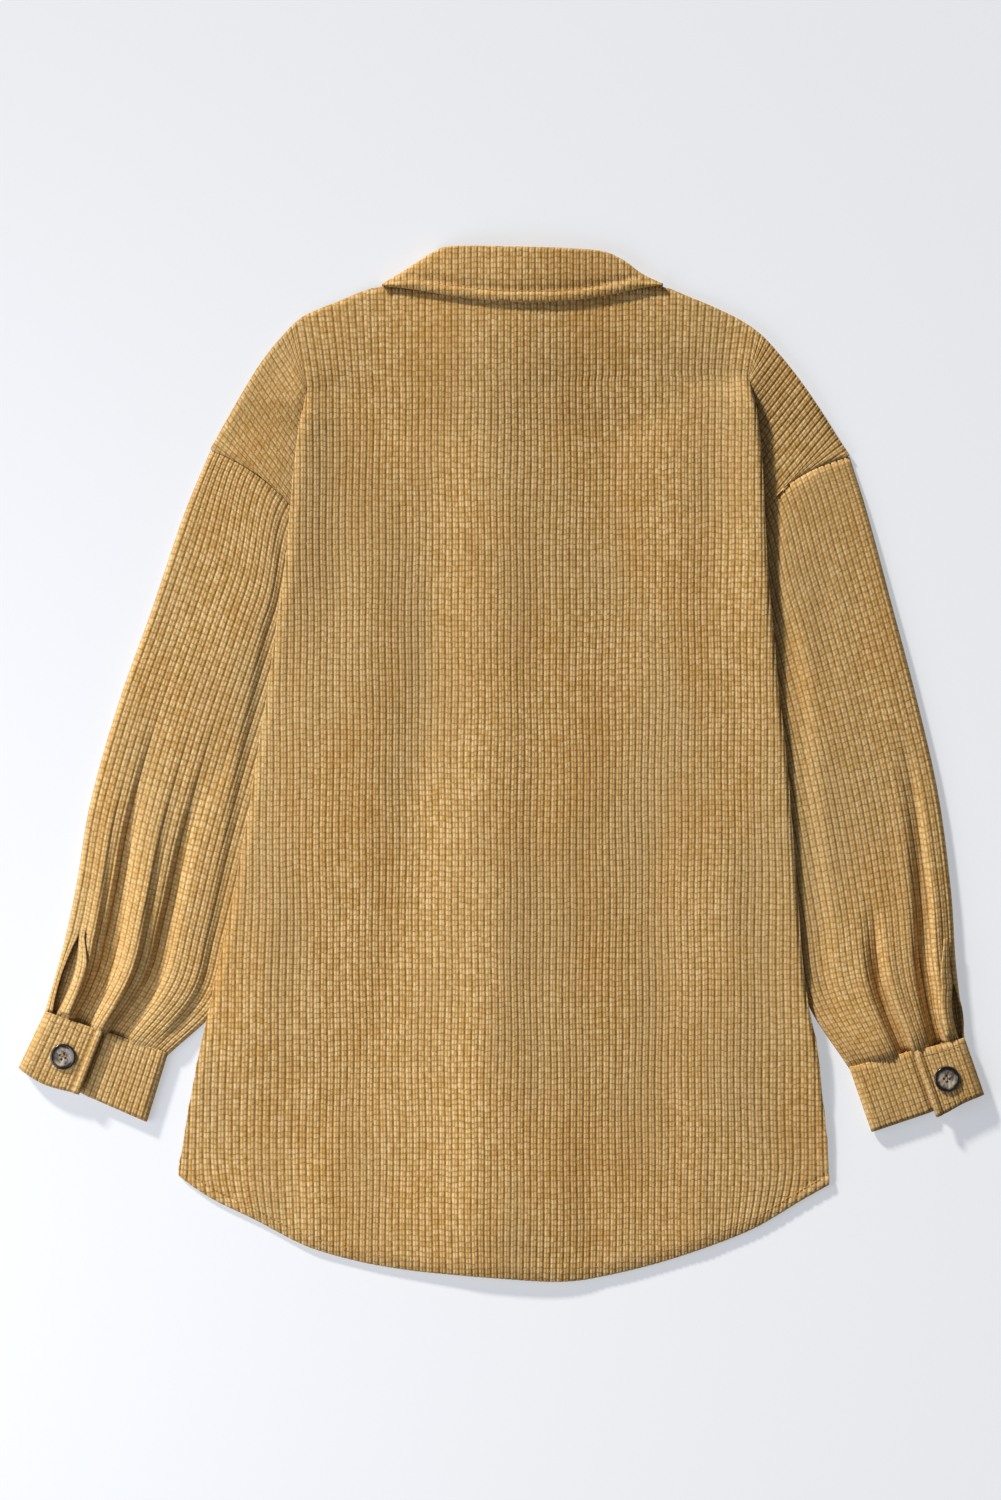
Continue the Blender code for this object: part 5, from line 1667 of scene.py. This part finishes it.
@dataclass
class Button:
    """A turned resin button with a raised rim and four thread holes, tied with a cross of thread."""

    node: str
    finish: HornButtonFinish
    turn: float = 0.4
    steps: int = 64
    hole_radius: float = 1.05
    hole_ring: float = 2.4
    dish: float = 1.25

    def profile(self, radius: float, height: float) -> np.ndarray:
        """Half section from the top's middle over the rim to the foot's middle, in millimetres."""
        rows = [
            (0.0, height - self.dish), (0.35 * radius, height - 1.22), (0.62 * radius, height - 1.0),
            (0.74 * radius, height - 0.6), (0.81 * radius, height - 0.18), (0.87 * radius, height),
            (0.93 * radius, height - 0.1), (0.975 * radius, height - 0.45), (0.995 * radius, height - 1.0),
            (radius, height - 1.5), (0.95 * radius, 0.9), (0.86 * radius, 0.25), (0.76 * radius, 0.0),
            (0.0, 0.0),
        ]
        return np.array(rows)

    def build(self) -> bpy.types.Object:
        """Make the button in its node's box: its profile turned round, then drilled."""
        low, high = (np.array(corner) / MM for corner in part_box(self.node))
        centre = (low + high) / 2
        radius, height = (high[0] - low[0]) / 2, high[2] - low[2]
        rows = self.profile(radius, height)[1:-1]
        angle = np.linspace(0, 2 * np.pi, self.steps, endpoint=False)
        ring = np.stack([np.cos(angle), np.sin(angle)], axis=-1)
        flat = centre[:2] + rows[:, None, :1] * ring[None]
        level = np.broadcast_to(low[2] + rows[:, None, 1:], (len(rows), self.steps, 1))
        wall = np.concatenate([flat, level], axis=-1).reshape(-1, 3)
        profile = self.profile(radius, height)
        poles = [(*centre[:2], low[2] + profile[0, 1]), (*centre[:2], low[2])]
        points = np.concatenate([wall, np.array(poles)])
        index = np.arange(len(rows) * self.steps).reshape(len(rows), self.steps)
        ahead = np.roll(index, -1, axis=1)
        quads = np.stack([index[:-1], index[1:], ahead[1:], ahead[:-1]], axis=-1).reshape(-1, 4)
        cap_top = np.stack([np.full(self.steps, len(wall)), index[0], ahead[0]], axis=-1)
        cap_low = np.stack([np.full(self.steps, len(wall) + 1), ahead[-1], index[-1]], axis=-1)
        centre_m = [float(value) * MM for value in (centre[0], centre[1], high[2])]
        horn = self.finish.material(centre_m, float(radius) * MM, self.turn)
        faces = quads.tolist() + cap_top.tolist() + cap_low.tolist()
        piece = make_piece(f"{self.node}_horn", points, faces, horn)
        self.drill(piece, centre, float(low[2]), float(high[2]))
        return settle(piece, [self.node])

    def drill(self, piece: bpy.types.Object, centre: np.ndarray, low: float, high: float) -> None:
        """Cut the four thread holes and keep the drilled mesh."""
        cutters = []
        for index in range(4):
            angle = self.turn + index * np.pi / 2
            place = centre[:2] + self.hole_ring * np.array([np.cos(angle), np.sin(angle)])
            bpy.ops.mesh.primitive_cylinder_add(
                vertices=16, radius=self.hole_radius * MM, depth=(high - low + 4) * MM,
                location=(place[0] * MM, place[1] * MM, (low + high) / 2 * MM),
            )
            cutter = bpy.context.object
            cutters.append(cutter)
            cut = piece.modifiers.new(f"hole_{index + 1}", "BOOLEAN")
            cut.operation = "DIFFERENCE"
            cut.solver = "EXACT"
            cut.object = cutter
        drilled = bpy.data.meshes.new_from_object(piece.evaluated_get(bpy.context.evaluated_depsgraph_get()))
        piece.modifiers.clear()
        piece.data = drilled
        for cutter in cutters:
            bpy.data.objects.remove(cutter, do_unlink=True)

    def thread_lines(self) -> list[np.ndarray]:
        """Two crossed threads between opposite holes, dipping into them."""
        low, high = (np.array(corner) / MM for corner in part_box(self.node))
        centre = (low + high) / 2
        lines = []
        for index in range(2):
            angle = self.turn + index * np.pi / 2
            reach = np.linspace(-1, 1, 24) * (self.hole_ring + 0.2)
            x = centre[0] + reach * np.cos(angle)
            y = centre[1] + reach * np.sin(angle)
            sag = 0.28 - 1.6 * smooth(0.82, 1.0, np.abs(reach) / (self.hole_ring + 0.2))
            lines.append(np.stack([x, y, high[2] - self.dish + 0.2 * index + sag], axis=-1))
        return lines


class Lamp(NamedTuple):
    """A light that faces the jacket's middle.

    It is a distant soft source (SUN), its size an angle in radians, or a square panel
    (AREA), its size a width in metres. Its place is in metres and its energy in its kind's unit.
    """

    kind: str
    name: str
    place: tuple[float, float, float]
    size: float
    energy: float
    colour: str


@dataclass
class Studio:
    """The floor, the soft light from the upper left and the camera straight above."""

    floor_half: float = 60000.0
    floor_clear: float = 0.3
    camera_height: float = 3000.0
    cloth_level: float = 8.0
    centre: Point = Point(-0.4, 11.0)
    sensor: float = 36.0
    lamps: tuple[Lamp, ...] = (
        Lamp("SUN", "key", place=(-3.35, 4.4, 2.3), size=0.1, energy=4.3, colour="#FFF9F0"),
        Lamp("AREA", "fill", place=(-0.95, -0.35, 0.75), size=1.0, energy=9.0, colour="#F6F8FF"),
    )
    sky: str = "#F4F7FB"
    sky_strength: float = 0.15

    def build(self, finish: PaleFloor) -> None:
        """Make the floor, lights, world and camera."""
        half, level = self.floor_half, -self.floor_clear
        corners = [(-half, -half, level), (half, -half, level), (half, half, level), (-half, half, level)]
        floor = make_piece("floor", np.array(corners), [[0, 1, 2, 3]], finish.material())
        for lamp in self.lamps:
            self.add_light(lamp)
        world = bpy.data.worlds.new("studio")
        world.use_nodes = True
        background = world.node_tree.nodes["Background"]
        background.inputs["Color"].default_value = to_linear(self.sky)
        background.inputs["Strength"].default_value = self.sky_strength
        bpy.context.scene.world = world
        bpy.context.scene.view_settings.view_transform = "Standard"
        self.add_camera()

    def add_light(self, lamp: Lamp) -> None:
        """Add a light and turn it toward the jacket's middle."""
        data = bpy.data.lights.new(lamp.name, lamp.kind)
        setattr(data, "angle" if lamp.kind == "SUN" else "size", lamp.size)
        data.energy = lamp.energy
        data.color = to_linear(lamp.colour)[:3]
        light = bpy.data.objects.new(lamp.name, data)
        light.location = lamp.place
        x, y, z = lamp.place
        light.rotation_euler = (np.arctan2(np.hypot(x, y), z), 0.0, np.arctan2(y, x) + np.pi / 2)
        bpy.context.scene.collection.objects.link(light)

    def add_camera(self) -> None:
        """Add the camera: its frame at the cloth's level is the photograph's, in real size."""
        data = bpy.data.cameras.new("camera")
        data.sensor_width = self.sensor
        data.sensor_fit = "AUTO"
        data.lens = self.sensor * self.camera_height / (IMAGE_HEIGHT * MM_PER_PIXEL)
        camera = bpy.data.objects.new("camera", data)
        height = (self.camera_height + self.cloth_level) * MM
        camera.location = (self.centre.x * MM, self.centre.y * MM, height)
        bpy.context.scene.collection.objects.link(camera)
        bpy.context.scene.camera = camera


SLEEVE_ROWS = {
    Side.LEFT: (
        SleeveRow(-230, 248, -135, 122, bow=24, tuck=91, top=5.0),
        SleeveRow(-251, 197, -139, 98, bow=10, tuck=50, top=6.4),
        SleeveRow(-277, 120, -149, 58, bow=3, tuck=37, top=7.4),
        SleeveRow(-303, 47, -167, -1, bow=0, tuck=28, top=7.6),
        SleeveRow(-325, -31, -189, -77, bow=0, tuck=19, top=7.6),
        SleeveRow(-336, -96, -206, -141, bow=0, tuck=14, top=7.8),
        SleeveRow(-347, -147, -221, -189, bow=0, tuck=10, top=8.2),
        SleeveRow(-361, -197, -264, -231, bow=0, tuck=0, top=8.4),
    ),
    Side.RIGHT: (
        SleeveRow(276, 243, 185, 130, bow=27, tuck=79, top=5.0),
        SleeveRow(290, 198, 185, 98, bow=11, tuck=40, top=6.4),
        SleeveRow(309, 127, 190, 66, bow=3, tuck=32, top=7.4),
        SleeveRow(329, 51, 202, 15, bow=0, tuck=23, top=7.6),
        SleeveRow(346, -24, 216, -51, bow=0, tuck=14, top=7.6),
        SleeveRow(356, -100, 230, -125, bow=0, tuck=8, top=7.8),
        SleeveRow(360, -159, 241, -186, bow=0, tuck=4, top=8.2),
        SleeveRow(367, -218, 276, -242, bow=0, tuck=0, top=8.4),
    ),
}
SLEEVE_FOLDS = {
    Side.LEFT: (
        FoldRow(at_cuff=0.19, at_fade=0.12, fade=0.46, rise=6.5, half_out=8, half_in=2.4),
        FoldRow(at_cuff=0.28, at_fade=0.22, fade=0.38, rise=-17.0, half_out=3.2, half_in=7.5),
        FoldRow(at_cuff=0.45, at_fade=0.38, fade=0.36, rise=7.5, half_out=11, half_in=3.2),
        FoldRow(at_cuff=0.55, at_fade=0.55, fade=0.38, rise=-15.0, half_out=3.6, half_in=8.5),
        FoldRow(at_cuff=0.78, at_fade=0.74, fade=0.60, rise=0.9, half_out=12, half_in=13),
    ),
    Side.RIGHT: (
        FoldRow(at_cuff=0.16, at_fade=0.08, fade=0.46, rise=6.0, half_out=9, half_in=2.0),
        FoldRow(at_cuff=0.205, at_fade=0.115, fade=0.40, rise=-13.0, half_out=2.2, half_in=8.0),
        FoldRow(at_cuff=0.31, at_fade=0.21, fade=0.42, rise=3.2, half_out=4.5, half_in=9),
        FoldRow(at_cuff=0.44, at_fade=0.45, fade=0.70, rise=7.5, half_out=11, half_in=2.0),
        FoldRow(at_cuff=0.485, at_fade=0.50, fade=0.68, rise=-11.5, half_out=2.2, half_in=7.2),
        FoldRow(at_cuff=0.61, at_fade=0.60, fade=0.66, rise=3.2, half_out=5, half_in=16),
    ),
}
SLEEVE_CREASES = {
    Side.LEFT: (
        Crease(-268, 150, -296, -10, rise=0.7, half_width=13),
        Crease(-222, 30, -250, -90, rise=-0.7, half_width=9),
        Crease(-214, 14, -232, -30, rise=-1.0, half_width=5),
        Crease(-300, 20, -322, -110, rise=0.6, half_width=11),
    ),
    Side.RIGHT: (
        Crease(252, 170, 262, 30, rise=-0.7, half_width=10),
        Crease(300, 120, 322, -20, rise=0.7, half_width=13),
        Crease(262, 10, 280, -110, rise=-0.6, half_width=11),
        Crease(318, -20, 336, -120, rise=0.6, half_width=10),
    ),
}
SLIT_PLACE = {Side.LEFT: 0.077, Side.RIGHT: 0.038}
SLIT_START = {Side.LEFT: 0.815, Side.RIGHT: 0.89}
SLEEVE_TUCK = {Side.LEFT: (5.2, 16.0), Side.RIGHT: (4.4, 28.0)}
SEAM_END = {Side.LEFT: 0.54, Side.RIGHT: 0.60}
SEAM_GATHER = {Side.LEFT: 0.13, Side.RIGHT: 0.06}
FRONT_BUTTONS = 6


def main() -> None:
    """Build the jacket's pieces in order, then the studio."""
    logging.basicConfig(level=logging.INFO, format="%(name)s %(message)s")
    cloth = Corduroy().material()
    thread = SewingThread().material()
    plan = BodyPlan()
    tops = {side: rows[0] for side, rows in SLEEVE_ROWS.items()}
    back = Back(plan, tops, SEAM_END)
    back.build(cloth)
    collar = Collar(plan)
    collar.build(cloth)
    cuffs = {
        Side.LEFT: Cuff(
            Side.LEFT, Point(-361, -197), Point(-264, -231), Point(-381, -239), Point(-280, -283), tab=0.48,
        ),
        Side.RIGHT: Cuff(
            Side.RIGHT, Point(367, -218), Point(276, -242), Point(382, -261), Point(293, -291), tab=0.45,
            sag_at=0.44,
        ),
    }
    stitch_lines = [back.hem_line(), collar.stitch_line()]
    button_threads = []
    for side in Side:
        Front(plan, side, tops[side], SEAM_END[side]).build(cloth)
        sleeve = Sleeve(
            side, SLEEVE_ROWS[side], SLEEVE_FOLDS[side], SLEEVE_CREASES[side], SLIT_PLACE[side],
            SLIT_START[side], SEAM_GATHER[side], *SLEEVE_TUCK[side],
        )
        sleeve.build(cloth)
        SlitBinding(sleeve).build(cloth)
        cuffs[side].build(cloth)
        stitch_lines += cuffs[side].stitch_lines()
        button = Button(f"cuff_button_{side.value}", HornButtonFinish(), turn=0.55 + 0.5 * side.inward)
        button.build()
        button_threads += button.thread_lines()
    for index in range(FRONT_BUTTONS):
        Button(f"front_button_{index + 1}", HornButtonFinish(), turn=0.3 * index).build()
    StitchRows("seam_stitches").build(stitch_lines, thread)
    # Painted shade: the button thread is coloured dark brown so that the thread holes read as shaded
    hole_shade_thread = SewingThread(name="spun_polyester_button_thread", colour="#7D6C55", shade="#55483A").material()
    StitchRows("button_thread", pitch=5.4, length=5.2, radius=0.35).build(button_threads, hole_shade_thread)
    Studio().build(PaleFloor())


if __name__ == "__main__":
    main()
